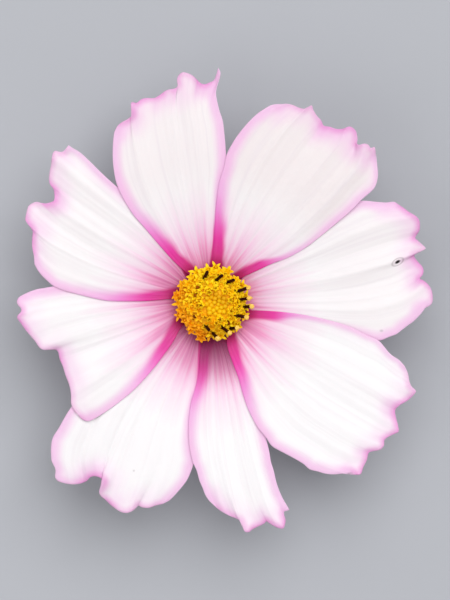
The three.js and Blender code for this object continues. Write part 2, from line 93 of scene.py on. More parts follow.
# How all petals are shaped and coloured
TOOTH_FADE = 4  # how soon the teeth of a petal's tip fade towards its claw
EDGE_FADE = 6  # how soon a petal's own lines forget the small waves of its side edges
PETAL_DIMMING = 0.11  # how much light a petal keeps back at its whitest
BLUSH_START = 6.35  # where the ramp of the rose next to the disc starts
RAMP_REACH = 44  # the reach at the end of a petal's colour ramps
DISC_SHADOW_BLUSH = 0.4  # petals with more blush_and_shade than this get the disc's shadow painted on, next to the disc
BITE = (33.5, 7.4)  # the hole that an insect bit in petal 3

# Petal 1 points to +Y and the numbers run clockwise, seen from above.
# heading: the claw's direction in degrees from +X.
# painted_shade: how much grey shade is painted on its outer part, where the petal tilts away from the light.
# blush_and_shade: how much further out the rose next to the disc goes. It differs from petal to petal as
# painted shade: further out where the disc's shadow falls, less far on the petals that face the light.
# notches: how much colour the notches of its tip have, as a share. Without it, 1.
# droop: how far the tip sinks.
# lift: how far the left and right edges stand above (or, negative, lie below) the bowl, because one
# neighbour covers the next.
# margins: how wide the magenta is at the left and right edges, as a share.
# fading: how much narrower and paler it gets further out, at the left and right edges. Without it, 0.
# folds: [place across from 0, left, to 1, right; height; width], a ridge or, negative, a groove.
# curls: [x, y, height, radius], a spot that is raised or sunk.
# left, tip and right: the outline, with left and right going outwards and tip going from left to right.
PETALS = [
    {
        "heading": 109, "painted_shade": 0.7, "blush_and_shade": -0.1, "droop": 0.8, "lift": (0.16, -0.12),
        "margins": (1, 0.35), "fading": (0, 0.5),
        "folds": [
            (0.22, 0.2, 0.05), (0.38, -0.15, 0.06), (0.55, 0.2, 0.05), (0.74, 0.25, 0.05),
            (0.87, -0.2, 0.05),
        ],
        "curls": [(-14.4, 34.6, 0.45, 1.7), (1, 41.5, 0.6, 1.5)],
        "left": [
            (-6.7, 7.4), (-9.4, 10.4), (-12.2, 13.7), (-14.4, 16.3), (-16.9, 20.9), (-17.6, 23.9),
            (-17.8, 26.6), (-17.7, 29.3),
        ],
        "tip": [
            (-17.5, 30.8), (-16.9, 31.9), (-16.2, 32.5), (-15.1, 33.1), (-14.4, 33.7), (-14.2, 34.2),
            (-14.5, 35.6), (-14.4, 36.1), (-13.5, 36), (-12.6, 36.7), (-11.5, 36.9), (-10.3, 36.9),
            (-9.4, 37.4), (-8.1, 38.3), (-6.4, 38.7), (-6.1, 39.2), (-6.2, 40.3), (-5.9, 41), (-5.2, 41.5),
            (-4.5, 41.4), (-3.4, 40.9), (-2, 39.6), (-1.3, 39.4), (-0.4, 39.7), (0.4, 40.1), (0.9, 41.2),
            (1.2, 42.3),
        ],
        "right": [
            (0.5, 8.1), (0.8, 11.3), (1, 14.9), (1.3, 18.5), (1.9, 22.1), (2.6, 24.8), (2.5, 28.4),
            (2.3, 30.6), (2, 32.9), (1.4, 34.7), (1, 36.4), (0.8, 37.8), (1, 39.1), (1.4, 40.3), (1.6, 41.4),
        ],
    },
    {
        "heading": 63.5, "painted_shade": 0.9, "blush_and_shade": -1.5, "notches": 0.5, "droop": 0.2, "lift": (0.14, 0.16),
        "margins": (1, 0.8), "fading": (0, 1),
        "folds": [
            (0.24, 0.3, 0.04), (0.42, -0.3, 0.08), (0.6, 0.4, 0.05), (0.71, -0.3, 0.06), (0.82, 1.1, 0.08),
            (0.93, -0.2, 0.04),
        ],
        "curls": [(29.2, 28, 1, 1.6)],
        "left": [
            (0.3, 7.4), (0.5, 11.3), (0.6, 14.9), (0.9, 18.5), (1.5, 22.1), (2.3, 24.8), (2.7, 26.7),
            (3.8, 28.8), (5, 30.6), (6.8, 32.7), (8.3, 34.1), (9.5, 34.9), (10.8, 35.6),
        ],
        "tip": [
            (12.2, 35.7), (13.5, 35.8), (14.6, 35.6), (15.7, 35.1), (16.6, 34.9), (17.3, 35.1), (18, 35.5),
            (18.3, 34.7), (19.1, 33.5), (19.7, 32.9), (20.2, 31.9), (21.2, 31.7), (22.5, 31.3), (23.6, 31.3),
            (24.8, 31.7), (25.6, 31.3), (26, 30.8), (26.2, 29.7), (26.1, 28.6), (26.5, 28.4), (27.4, 28.6),
            (28.1, 28.4), (28.6, 27.8), (29.2, 28), (29.4, 27.5), (29.3, 26.3),
        ],
        "right": [
            (5.9, 4.8), (8.1, 5.8), (10.9, 7.1), (13.8, 8.2), (16.7, 9.8), (19.6, 12), (22.4, 14.3),
            (25.3, 16.8), (26.8, 18.4), (29.3, 20.7), (29.8, 22.1), (29.9, 23.4), (29.7, 24.8),
        ],
    },
    {
        "heading": 14.5, "painted_shade": 0.4, "blush_and_shade": -1.8, "droop": 0.9, "lift": (-0.16, -0.14),
        "margins": (0.35, 0.35),
        "folds": [
            (0.2, 0.6, 0.08), (0.34, -0.5, 0.07), (0.5, 0.6, 0.06), (0.62, -0.45, 0.07), (0.8, 0.5, 0.07),
        ],
        "curls": [(*BITE, -0.3, 0.5), (38.4, 9.9, 0.8, 1.4)],
        "left": [
            (5.6, 5.6), (9.5, 7.9), (13.1, 10.3), (16.7, 12.6), (20.3, 15.3), (23.6, 17.3), (26.8, 18.4),
            (29.3, 18.2), (31.1, 18),
        ],
        "tip": [
            (32, 18.1), (32.9, 18.2), (33.7, 17.7), (34.6, 17.1), (35.5, 16.4), (36.9, 15.5), (37.4, 14.8),
            (37.5, 13.9), (37.4, 13), (36.7, 11.7), (37.2, 11.2), (38, 10.4), (38.5, 9.8), (37.6, 9.3),
            (36.5, 8.6), (36.7, 8.1), (37.4, 7.2), (38, 6.5), (38.2, 5.8), (38, 5), (37.5, 4.4), (38.2, 4),
            (39.1, 3.2), (39.6, 2.3), (39.8, 1.3), (39.7, 0), (39.2, -0.5), (38.3, -0.8),
        ],
        "right": [
            (7.6, -2.2), (11.3, -2.9), (16.7, -4), (22.1, -5.2), (27, -6.3), (30.1, -6.8), (32, -6.1),
            (33.3, -5.6), (34.2, -4.9), (35.1, -4.2), (36.2, -3.4), (36.9, -2.5), (37.4, -1.4),
        ],
    },
    {
        "heading": -40.6, "painted_shade": 0, "blush_and_shade": 0.1, "droop": 0.2, "lift": (0.14, 0.18), "margins": (0.9, 1),
        "fading": (0.9, 0.1),
        "folds": [
            (0.14, -0.2, 0.05), (0.33, 0.3, 0.1), (0.5, -0.25, 0.04), (0.66, 0.25, 0.1), (0.84, -0.2, 0.04),
        ],
        "curls": [(36.4, -15.8, 0.8, 1.4), (33.4, -23, 0.6, 1.2), (26.4, -30.5, 0.6, 1.4)],
        "left": [
            (7.2, -1.4), (11.3, -1.5), (15.8, -2), (20.3, -2.9), (24.7, -4.2), (27.7, -5.7), (30.1, -6.8),
            (31.1, -7.9), (32.2, -9.2), (33.8, -10.3),
        ],
        "tip": [
            (34.7, -11.3), (35.3, -12.6), (35.6, -14.2), (36, -15.1), (36.7, -15.8), (36.4, -16.4),
            (35.3, -17.5), (33.8, -18.4), (33.1, -19.1), (33, -19.6), (33.2, -20.7), (33.5, -22),
            (33.6, -23.1), (32.9, -23.5), (31.1, -24.6), (31, -25.6), (30.4, -26.3), (29.2, -26.6),
            (28.3, -26.9), (27.9, -28.3), (27.2, -29.7), (26.8, -30.7), (26.1, -30.8), (25.4, -30.5),
            (23.9, -30.5),
        ],
        "right": [
            (2.9, -8.1), (3.8, -10.8), (4.9, -13.8), (5.7, -16.7), (6.8, -19.7), (8.5, -22.7), (9.7, -24.1),
            (10.8, -25.7), (11.9, -26.4), (14, -27.5), (16.6, -29), (17.6, -29.9), (19.1, -30.3),
            (20.5, -30.7), (22.1, -30.8),
        ],
    },
    {
        "heading": -84, "painted_shade": 0, "blush_and_shade": 3, "droop": 0.8, "lift": (-0.16, 0.12), "margins": (0.35, 1),
        "folds": [(0.25, 0.3, 0.08), (0.45, -0.3, 0.08), (0.65, 0.3, 0.09)],
        "curls": [(13.8, -37, 0.8, 1.3), (13, -40.2, 0.6, 1.4), (6.2, -41, 0.5, 1.4)],
        "left": [
            (3.6, -7.6), (5.2, -10.6), (6.7, -13.9), (7.9, -17.5), (9, -21.1), (9.8, -24.3), (10.4, -26.8),
            (10.7, -28.6), (11.2, -30.2), (11.6, -32), (12.2, -33.8), (13, -35.5), (13.6, -36.5),
        ],
        "tip": [
            (14, -37.2), (13.5, -37.4), (13.1, -37.5), (13.1, -38.3), (13.3, -39.1), (13.2, -39.8),
            (12.9, -40.5), (11.9, -40.4), (11.2, -40.1), (10.4, -39.6), (9.9, -39.3), (9.5, -39.7),
            (8.5, -40.2), (7.4, -40.7), (6.7, -41.2), (6, -41.1), (5.6, -40.1), (5, -39.1), (3.2, -38.3),
            (1.6, -37.4), (0.5, -36.5), (-0.4, -35.6),
        ],
        "right": [
            (-2, -8.5), (-2.3, -12.4), (-2.9, -15.3), (-3.7, -18), (-4.1, -21.1), (-4.1, -24.3),
            (-3.8, -26.8), (-3.3, -28.8), (-2.7, -30.1), (-2.2, -31.9), (-1.6, -33.3), (-1.1, -34.6),
        ],
    },
    {
        "heading": -126.7, "painted_shade": 0, "blush_and_shade": 1.5, "notches": 0.5, "droop": 1.4, "lift": (-0.12, -0.17),
        "margins": (0.35, 0.4),
        "folds": [
            (0.3, 0.4, 0.08), (0.48, -0.4, 0.05), (0.6, -0.55, 0.05), (0.7, 0.3, 0.06), (0.81, -0.8, 0.05),
        ],
        "curls": [(-20.2, -32, 1.4, 2.4)],
        "left": [
            (-1.8, -8.1), (-2, -12.4), (-2.4, -15.3), (-3.2, -18), (-3.6, -21.1), (-3.6, -24.3),
            (-3.3, -26.8), (-3.1, -28.4), (-3.4, -29.5), (-4.3, -31.7), (-4.9, -32.6), (-5.8, -33.7),
            (-6.7, -34.7),
        ],
        "tip": [
            (-7.6, -35.6), (-8.8, -36.2), (-10.1, -36.5), (-11.3, -36.9), (-12.6, -36.8), (-13.2, -36.5),
            (-13.6, -36.9), (-14.2, -37.4), (-15.3, -37.8), (-16.4, -37.6), (-18, -36.5), (-19.1, -35.5),
            (-20, -34.7), (-20.2, -34.2), (-19.8, -33.5), (-19.5, -32.8), (-19.4, -32.1), (-19.8, -31.6),
            (-20.4, -31.3), (-21.2, -31.2), (-22, -31.5), (-22.5, -32.1), (-23.8, -32.6), (-25, -32.7),
            (-26.5, -32.5), (-27.7, -32.1),
        ],
        "right": [
            (-7.2, -4), (-9.7, -5.6), (-13, -7.9), (-16.6, -10.6), (-20.2, -13.5), (-23.4, -16.6),
            (-25.5, -19.1), (-26.5, -20.7), (-27.5, -22.5), (-28.6, -24.3), (-28.9, -25.9), (-28.9, -27.4),
            (-28.8, -28.5), (-28.4, -29.3), (-28.1, -30.1), (-28.2, -31.4),
        ],
    },
    {
        "heading": 193.4, "painted_shade": 0.15, "blush_and_shade": 0.8, "notches": 0.2, "droop": 0.5, "lift": (0.22, -0.16),
        "margins": (1, 0.4),
        "folds": [(0.25, 0.3, 0.08), (0.45, -0.45, 0.07), (0.6, 0.3, 0.08), (0.78, 0.3, 0.07)],
        "curls": [(-23.2, -20.8, -0.15, 2.2), (-34.6, -1.8, 0.7, 1.6)],
        "left": [
            (-5.8, -4.9), (-7.1, -7.2), (-8.6, -9.3), (-10.4, -11.7), (-12.5, -14.1), (-14.6, -16.2),
            (-16.7, -17.9), (-18.8, -19.4), (-20.2, -20.3),
        ],
        "tip": [
            (-21.4, -21), (-22.3, -21.3), (-23.2, -21), (-24.1, -20.1), (-25, -18.9), (-25.3, -18),
            (-25.3, -16.9), (-25.4, -15.8), (-25.7, -14.6), (-26.3, -13.1), (-26.8, -11.5), (-27.4, -10.1),
            (-27.7, -8.8), (-28.1, -8.4), (-29.2, -8.4), (-30.4, -8.4), (-31, -8), (-31.7, -7),
            (-32.6, -5.9), (-33.5, -4.8), (-34.4, -3.5), (-34.9, -2.8), (-34.9, -2.3), (-34.5, -1.9),
            (-34.2, -1.4), (-34.3, -0.9), (-34.7, -0.5), (-35, 0), (-35, 0.5), (-34.7, 1), (-34, 1.4),
        ],
        "right": [
            (-7.2, 1.7), (-10.3, 2.1), (-14.8, 2.7), (-20.2, 3.2), (-24.7, 3.4), (-28.4, 3), (-30.1, 2.7),
            (-31.3, 2.5), (-32.8, 2),
        ],
    },
    {
        "heading": 149.6, "painted_shade": 0.35, "blush_and_shade": 0.9, "droop": 0.8, "lift": (0.2, -0.16),
        "margins": (1, 0.4), "fading": (0, 0.8),
        "folds": [
            (0.28, 0.3, 0.05), (0.42, -0.35, 0.05), (0.56, 0.45, 0.05), (0.7, -0.35, 0.05),
            (0.84, 0.3, 0.05),
        ],
        "curls": [(-29.5, 18, 0.8, 1.8), (-26, 28, 0.6, 1.5)],
        "left": [
            (-7.4, 0.8), (-11.3, 0.4), (-14.3, 0.3), (-18.8, 0.4), (-21.4, 0.9), (-24.7, 1.7), (-26.5, 2.2),
            (-28.4, 3), (-29.7, 4.1), (-30.6, 5), (-31.3, 5.9),
        ],
        "tip": [
            (-31.9, 7), (-32, 8.5), (-32.3, 10.1), (-32.3, 11.7), (-32.2, 12.9), (-32.6, 13.7),
            (-33.1, 14.3), (-33.5, 15), (-33.4, 15.8), (-33.2, 16.7), (-32.9, 17.5), (-32.2, 18),
            (-31.5, 18.2), (-30.6, 18), (-29.9, 17.9), (-29, 18.1), (-28.4, 18.4), (-28.3, 19.4),
            (-28.5, 20.6), (-29.1, 21.4), (-29.3, 22.2), (-29.2, 23.4), (-28.9, 24.8), (-28.7, 26.3),
            (-28.5, 27.1), (-28.1, 27.4), (-27.4, 27.2), (-26.7, 27.3), (-26.2, 27.8), (-25.7, 28.4),
        ],
        "right": [
            (-5.6, 7.9), (-7, 10.3), (-9.4, 13.5), (-12.1, 16.4), (-14.8, 18.9), (-16.9, 20.8),
            (-18.4, 22.1), (-20.2, 23.8), (-22, 25.6), (-23.8, 27.2), (-25.2, 28),
        ],
    },
]

# Open disc florets whose tube of anthers stands out: in plan, where the tube starts and where it ends,
# and the radius of the pollen pushed out of its mouth.
TUBED = [
    (-1.4, 4.5, -0.8, 5.5, 0), (0.9, 4.2, 1.8, 4.9, 0), (2.8, 3.7, 3.9, 4.1, 0), (4.4, 2, 6.2, 2.6, 0.42),
    (5.1, 0.6, 6.4, 0.8, 0.42), (6, -0.7, 7, -0.65, 0.44), (4.3, -2.2, 5.9, -2.5, 0.44),
    (3.5, -4.6, 4.4, -4.5, 0.4), (1.9, -4.4, 3, -5.2, 0.42), (0.2, -5.4, 0.9, -6.2, 0.44),
    (-1, -4.2, -0.5, -4.8, 0),
]
# Open florets with the end of a tube in their throats: [x, y, how brown it is instead of dark]
THROATS = [
    (-2.5, 2.8, 0.7), (-2.9, 1.35, 0.7), (-3, -2.4, 0.3), (-1.25, -2.55, 0.6), (1.45, -2.8, 0.6),
    (4.85, -0.7, 0.4), (3.05, -3.6, 0.5),
]
FLORET_GAP = 0.7  # how far one of these is at least from any other open floret
BUD_MIDDLE = Vector((0.9, -0.3))  # the middle of the shut florets, off the bloom's axis
BUD_GAP = 0.35  # how far the open florets stay out of the shut ones' zone
GOLDEN_ANGLE = math.radians(137.508)
DISC_SHADE_SIDE = Vector((-0.75, -0.65))  # the side of the disc away from the light, painted more orange as shade
DOME_POWER = 2.2  # how flat the middle of the dome of florets is
RIM_LEAN = math.radians(29)  # how far the florets at the disc's rim lean outwards
DEEPEST = 1.6  # how far below the dome a floret has its deepest colour, which is partly painted shade
RIM_ALLOWANCE = 0.85  # how much deeper that is at the disc's rim
LOBES = 5
LOBE_SIDES = 6  # how many sides of a floret's rings make one lobe

# Outer bracts: [direction in degrees, reach of the tip, height of its underside above the surface]
OUTER_BRACTS = [
    (20, 12.3, 0), (64, 11.6, 2.2), (112, 12.1, 0), (157, 11.2, 1.5),
    (203, 12.5, 0), (246, 11.7, 2.6), (294, 12.2, 0), (339, 11.3, 1.3),
]
INNER_BRACT_FIRST = 42  # the first inner bract's direction in degrees
INNER_BRACTS = 8
BRACT_COLUMNS = 14
BRACT_ROWS = 44
BRACT_TIP_HALF_WIDTH = 0.35


def paint(code):
    """A linear colour from a six-digit display code."""
    parts = (int(code[k:k + 2], 16) / 255 for k in (0, 2, 4))
    return tuple(part / 12.92 if part <= 0.04045 else ((part + 0.055) / 1.055) ** 2.4 for part in parts)


def length(name, description, default):
    """A length property whose default is given in millimetres."""
    return FloatProperty(name=name, description=description, default=default * MM, unit="LENGTH", precision=5)


def colour(name, description, code):
    """A colour property whose default is a display code."""
    return FloatVectorProperty(
        name=name, description=description, default=paint(code), subtype="COLOR", size=3, min=0, max=1
    )


class CosmosPetalSettings(bpy.types.PropertyGroup):
    """Sizes and colours of the eight petals."""

    thickness: length("Thickness", "How thick a petal is", 0.12)
    bowl_rise: length("Bowl rise", "How far endless petals would climb above their claws", 8.3)
    bowl_length: length("Bowl length", "The reach over which most of that climb happens", 18)
    ribs: IntProperty(name="Ribs", description="Fine lengthwise ribs on each petal", default=15, min=0)
    rib_height: length("Rib height", "How high the fine ribs stand", 0.085)
    white: colour("White", "The middle of a petal", "fcf7f9")
    vein: colour("Vein", "The fine lines along a petal", "ebe0e6")
    rose: colour("Rose", "The striped blush next to the disc", "e088b8")
    magenta: colour("Magenta", "The side margins near the disc", "ea38a6")
    orchid: colour("Orchid", "The toothed edge of the tip", "e89cd4")


class CosmosDiscSettings(bpy.types.PropertyGroup):
    """Sizes and colours of the disc florets."""

    radius: length("Radius", "Reach of the outermost floret mouths", 6.5)
    top: length("Top", "Height of the middle of the dome", 14.4)
    drop: length("Drop", "How much lower the dome's edge is", 2.4)
    buds: IntProperty(name="Buds", description="Shut florets near the middle", default=24, min=1)
    bud_zone: length("Bud zone", "Reach of the shut florets from their middle", 2.15)
    open_florets: IntProperty(name="Open florets", description="Florets round the buds", default=88, min=1)
    tube_length: length("Tube length", "How far a tube of anthers stands out", 2)
    yellow: colour("Yellow", "The lobes of the open florets", "ffda08")
    orange: colour("Orange", "The same on the disc's orange side", "faa80a")
    amber: colour("Amber", "The throats", "fa9c00")
    rust: colour("Rust", "The deepest gaps", "ac5402")
    anther: colour("Anther", "The tubes of anthers", "2e0b05")
    pollen: colour("Pollen", "The pollen pushed out of the tubes", "ffdc6e")


class CosmosGreenSettings(bpy.types.PropertyGroup):
    """Sizes and colours of the stub of stem and the bracts."""

    stem_radius: length("Stem radius", "The stem just under the head", 1.05)
    stub_length: length("Stub length", "From the cut to where the stem widens", 3.2)
    bract_thickness: length("Bract thickness", "How thick a bract is", 0.32)
    green: colour("Green", "The stem, receptacle and outer bracts", "6f8f45")
    dark_green: colour("Dark green", "Their streaks", "45662c")
    membrane: colour("Membrane", "The inner bracts", "b9b66c")
    membrane_edge: colour("Membrane edge", "The thin rim of the inner bracts", "e2d9a8")


class CosmosStageSettings(bpy.types.PropertyGroup):
    """The floor, the lights and the camera."""

    floor_size: length("Floor size", "Side of the floor", 2400)
    floor: colour("Floor", "The plain floor", "adafb5")
    camera_height: length("Camera height", "How far the camera is above the petal tips", 600)
    view_height: length("View height", "How much the picture takes in from top to bottom", 108)
    tip_height: length("Tip height", "The level that view height is measured at", 15)
    key_power: FloatProperty(name="Key power", description="Watts of the main light", default=18.5, min=0)
    fill_power: FloatProperty(name="Fill power", description="Watts of the fill light", default=1.1, min=0)
    sky: FloatProperty(name="Sky", description="Strength of the light from all round", default=0.56, min=0)


def smooth(share):
    """0 to 1 with level ends."""
    share = min(1, max(0, share))
    return share * share * (3 - 2 * share)


def lerp(a, b, share):
    return a + (b - a) * share


def hill(distance, width):
    """A hill of height 1, about one width wide to each side."""
    return math.exp(-((distance / width) ** 2))


def crest(distance, width):
    """A hill of height 1 with a narrow crest."""
    return math.exp(0.26 - 1.3 * math.sqrt((distance / width) ** 2 + 0.04))


def curve_through(points, steps=24):
    """Points at even arc length along the centripetal curve through the given ones."""
    points = [Vector(point) for point in points]
    ends = [points[0] * 2 - points[1], *points, points[-1] * 2 - points[-2]]
    dense = []
    for before, start, end, after in zip(ends, ends[1:], ends[2:], ends[3:]):
        gaps = [max(1e-4, (b - a).length ** 0.5) for a, b in ((before, start), (start, end), (end, after))]
        leave = ((start - before) / gaps[0] - (end - before) / (gaps[0] + gaps[1])) * gaps[1] + (end - start)
        arrive = (end - start) - ((after - start) / (gaps[1] + gaps[2]) - (after - end) / gaps[2]) * gaps[1]
        for k in range(steps):
            t = k / steps
            dense.append(
                start * (2 * t**3 - 3 * t**2 + 1)
                + leave * (t**3 - 2 * t**2 + t)
                + end * (3 * t**2 - 2 * t**3)
                + arrive * (t**3 - t**2)
            )
    dense.append(points[-1])
    travelled = [0]
    for a, b in zip(dense, dense[1:]):
        travelled.append(travelled[-1] + (b - a).length)
    count = math.ceil(travelled[-1] / CURVE_STEP)
    even = []
    k = 0
    for step in range(count + 1):
        goal = travelled[-1] * step / count
        while k < len(dense) - 2 and travelled[k + 1] < goal:
            k += 1
        share = (goal - travelled[k]) / (travelled[k + 1] - travelled[k])
        even.append(dense[k].lerp(dense[k + 1], share))
    return even


def calmed(samples):
    """The same curve without its small waves, through the same two ends."""
    last = len(samples) - 1
    result = []
    for k in range(last + 1):
        half = min(k, last - k, last // 4)
        window = samples[k - half:k + half + 1]
        result.append(sum(window, Vector((0, 0))) / len(window))
    return result


def along(samples, share):
    """The point at a share of the way along evenly spaced samples."""
    place = min(max(share, 0), 1) * (len(samples) - 1)
    k = min(int(place), len(samples) - 2)
    return samples[k].lerp(samples[k + 1], place - k)


def nearest_finder(samples):
    """A search tree over points in the plan."""
    tree = kdtree.KDTree(len(samples))
    for k, sample in enumerate(samples):
        tree.insert((sample[0], sample[1], 0), k)
    tree.balance()
    return tree


# Materials


def rgba(shade):
    """A socket as it is, or a display code or linear colour with an alpha of 1."""
    if isinstance(shade, bpy.types.NodeSocket):
        return shade
    return (*(paint(shade) if isinstance(shade, str) else shade), 1)


class Look:
    """A material in the making: a Principled shader, and short ways to add nodes in front of it. Where one
    takes a number or a colour, that is a plain value or the socket that it comes from."""

    def __init__(self, name):
        self.material = bpy.data.materials.new(name)
        self.material.use_nodes = True
        self.tree = self.material.node_tree
        self.tree.nodes.clear()
        self.shader = self.add("BsdfPrincipled")
        self.add("OutputMaterial", {"Surface": self.shader.outputs["BSDF"]})

    def fill(self, node, inputs):
        """Links each input that is given as a socket, and sets the others."""
        for key, value in inputs.items():
            if isinstance(value, bpy.types.NodeSocket):
                self.tree.links.new(value, node.inputs[key])
            else:
                node.inputs[key].default_value = value

    def add(self, kind, inputs=None, **settings):
        """A shader node with its settings and inputs."""
        node = self.tree.nodes.new("ShaderNode" + kind)
        for name, value in settings.items():
            setattr(node, name, value)
        self.fill(node, inputs or {})
        return node

    def calc(self, operation, *values):
        return self.add("Math", dict(enumerate(values)), operation=operation).outputs[0]

    def plus(self, a, b):
        return self.calc("ADD", a, b)

    def minus(self, a, b):
        return self.calc("SUBTRACT", a, b)

    def times(self, *values):
        return reduce(lambda a, b: self.calc("MULTIPLY", a, b), values)

    def fade(self, value, start, end, low=0, high=1):
        """low at start, high at end, level beyond both."""
        inputs = {"Value": value, "From Min": start, "From Max": end, "To Min": low, "To Max": high}
        return self.add("MapRange", inputs, interpolation_type="SMOOTHSTEP").outputs["Result"]

    def stored(self, name):
        """A number that the piece's mesh holds for each vertex."""
        return self.add("Attribute", attribute_name=name).outputs["Fac"]

    def mix(self, share, a, b):
        """Colour a where share is 0 and b where it is 1."""
        return self.add("Mix", {0: share, 6: rgba(a), 7: rgba(b)}, data_type="RGBA").outputs[2]

    def ramp(self, value, *stops):
        """A colour ramp of (place, colour) stops."""
        node = self.add("ValToRGB", {"Fac": value})
        elements = node.color_ramp.elements
        while len(elements) < len(stops):
            elements.new(0.5)
        for element, (place, shade) in zip(elements, stops):
            element.position = place
            element.color = rgba(shade)
        return node.outputs["Color"]

    def speckle(self, scale, detail=2, vector=None):
        """Noise from 0 to 1, on Object coordinates unless a vector is given."""
        vector = vector or self.add("TexCoord").outputs["Object"]
        return self.add("TexNoise", {"Vector": vector, "Scale": scale, "Detail": detail}).outputs["Fac"]

    def uv(self):
        """How far across and how far outward a point is on a blade's own UV map."""
        return self.add("SeparateXYZ", {0: self.add("TexCoord").outputs["UV"]}).outputs[:2]

    def stripes(self, count, stretch=1, seed=0):
        """Noise drawn out along a blade, with about that many stripes across it."""
        across, outward = self.uv()
        place = {0: self.times(across, count), 1: self.times(outward, stretch), 2: seed}
        return self.speckle(1, 2, self.add("CombineXYZ", place).outputs[0])

    def distance_from(self, x, y, half_length, half_width, slant=0):
        """1 on an ellipse round a plan position, 0 at its middle, and more outside. slant is in degrees."""
        inputs = {
            "Vector": self.add("TexCoord").outputs["Object"],
            "Location": AXIS + Vector((x, y, 0)) * MM,
            "Rotation": (0, 0, math.radians(slant)),
            "Scale": (half_length * MM, half_width * MM, 1),
        }
        moved = self.add("Mapping", inputs, vector_type="TEXTURE").outputs[0]
        return self.add("VectorMath", {0: moved}, operation="LENGTH").outputs["Value"]

    def finish(self, shade, values, bump=None, bump_height=0):
        """The finished material, with its colour, the shader's other values and a bump in millimetres."""
        self.fill(self.shader, {"Base Color": shade, **values})
        if bump:
            inputs = {"Height": bump, "Distance": bump_height * MM, "Strength": 1}
            self.fill(self.shader, {"Normal": self.add("Bump", inputs).outputs["Normal"]})
        return self.material


def petal_material(settings):
    """White, with magenta side margins, a pale orchid tip and a striped rose blush round the disc."""
    look = Look("ray_petal")
    fade, mix, plus, minus, times = look.fade, look.mix, look.plus, look.minus, look.times
    names = ("left", "right", "tip", "reach", "number", "blush_and_shade", "painted_shade", "tooth", "faded")
    left, right, tip, reach, number, blush_and_shade, painted_shade, tooth, faded = map(look.stored, names)
    fine, broad = look.stripes(28, 0.8, plus(number, 0.3)), look.stripes(12, 0.5, plus(number, 7.3))
    wander = look.speckle(170, 1)

    # The blush: the stripes move its fade in and out, and blush_and_shade moves it as painted shade
    striped = plus(times(broad, 11), times(fine, 2.5))
    blush_reach = minus(minus(plus(reach, striped), BLUSH_START), blush_and_shade)
    body = look.ramp(
        look.calc("DIVIDE", blush_reach, RAMP_REACH),
        (0.08, "b04c86"), (0.16, settings.rose), (0.22, "f2a2cc"), (0.28, "f9cae5"), (0.36, "fbe3f0"),
        (0.5, settings.white),
    )
    # Painted shade: the outer part of a petal that tilts away from the light is painted greyer, by its
    # painted_shade
    body = mix(times(fade(reach, 14, 27), painted_shade), body, "f3e8e9")
    body = mix(times(fade(fine, 0.5, 0.75), fade(painted_shade, 0, 0.9, 0.3, 0.5)), body, settings.vein)

    # The pale rim, in patches, and all along the notches of the tip
    edge = look.calc("MINIMUM", left, right)
    near = look.calc("MINIMUM", times(edge, 1.8), tip)
    notched = fade(tooth, 0.3, -0.9)
    patch = look.calc("MAXIMUM", fade(wander, 0.36, 0.64, 0.55, 1), notched)
    glow = times(fade(plus(near, times(broad, 3)), 1, 6.6, 1, 0), fade(painted_shade, 0, 0.9, 0.6, 1))
    body = mix(times(glow, patch), body, "f6c9ea")
    body = mix(times(fade(tip, 0.4, 3.6, 0.4, 0), notched), body, "e2a3d4")
    body = mix(times(fade(tip, 0, 1.4, 0.9, 0), patch), body, settings.orchid)

    # The side margins: from their full colour near the disc they grow paler and narrower. Their darkest
    # stops, right next to the disc, are partly their own colour and partly painted shade of the disc
    paled = times(fade(reach, 10, 16), faded)
    uneven = fade(wander, 0.3, 0.7, 0.9, 1.1)
    width = times(fade(reach, 13, 26, 2.95, 2.3), uneven, fade(paled, 0, 1, 1, 0.55))
    full, none = fade(reach, 9, 19, 0.48, 0.12), fade(reach, 9, 19, 0.82, 1.06)
    margin = fade(look.calc("DIVIDE", edge, width), full, none, 1, 0)
    strength = times(margin, fade(reach, 12, 26, 1, 0.9), fade(paled, 0, 1, 1, 0.85))
    margin_colour = look.ramp(
        look.calc("DIVIDE", plus(reach, times(paled, 3)), RAMP_REACH),
        (0.15, "ac1c5e"), (0.2, "d9358f"), (0.27, settings.magenta), (0.32, "ef60bc"), (0.38, "ef8ad2"),
        (0.46, "f2b2e2"), (0.56, "f3bee4"), (0.8, "f3c6e8"),
    )
    body = mix(strength, body, margin_colour)
    # Painted shadow of the disc: the petals with the most blush_and_shade are painted darker next to it
    deep = look.calc("MAXIMUM", minus(blush_and_shade, DISC_SHADOW_BLUSH), 0)
    body = mix(times(fade(reach, 7, 17, 0.33, 0), deep), body, "861c56")

    # What an insect bit, with its swollen rim, and two faint specks. The bite's hole is a dent with its dark
    # painted on, as painted shade
    bite = look.distance_from(*BITE, 0.58, 0.3, 30)
    ring = times(fade(bite, 1.3, 1.9), fade(bite, 1.9, 2.5, 1, 0))
    body = mix(times(ring, 0.45), body, "94898e")
    # Painted shade: the dark of the bitten hole, painted onto the dent
    body = mix(fade(bite, 0.5, 1.2, 1, 0), body, "1c1013")
    body = mix(fade(look.distance_from(30.6, -5, 0.5, 0.35), 0.2, 1, 0.4, 0), body, "9a8f96")
    body = mix(fade(look.distance_from(-14, -30.2, 0.3, 0.3), 0.2, 1, 0.35, 0), body, "a3989c")
    body = mix(PETAL_DIMMING, body, (0, 0, 0))
    values = {
        "Roughness": 0.5,
        "Specular IOR Level": 0.35,
        "Subsurface Weight": 0.5,
        "Subsurface Radius": (1, 0.9, 0.9),
        "Subsurface Scale": 0.3 * MM,
    }
    return look.finish(body, values, fine, 0.05)


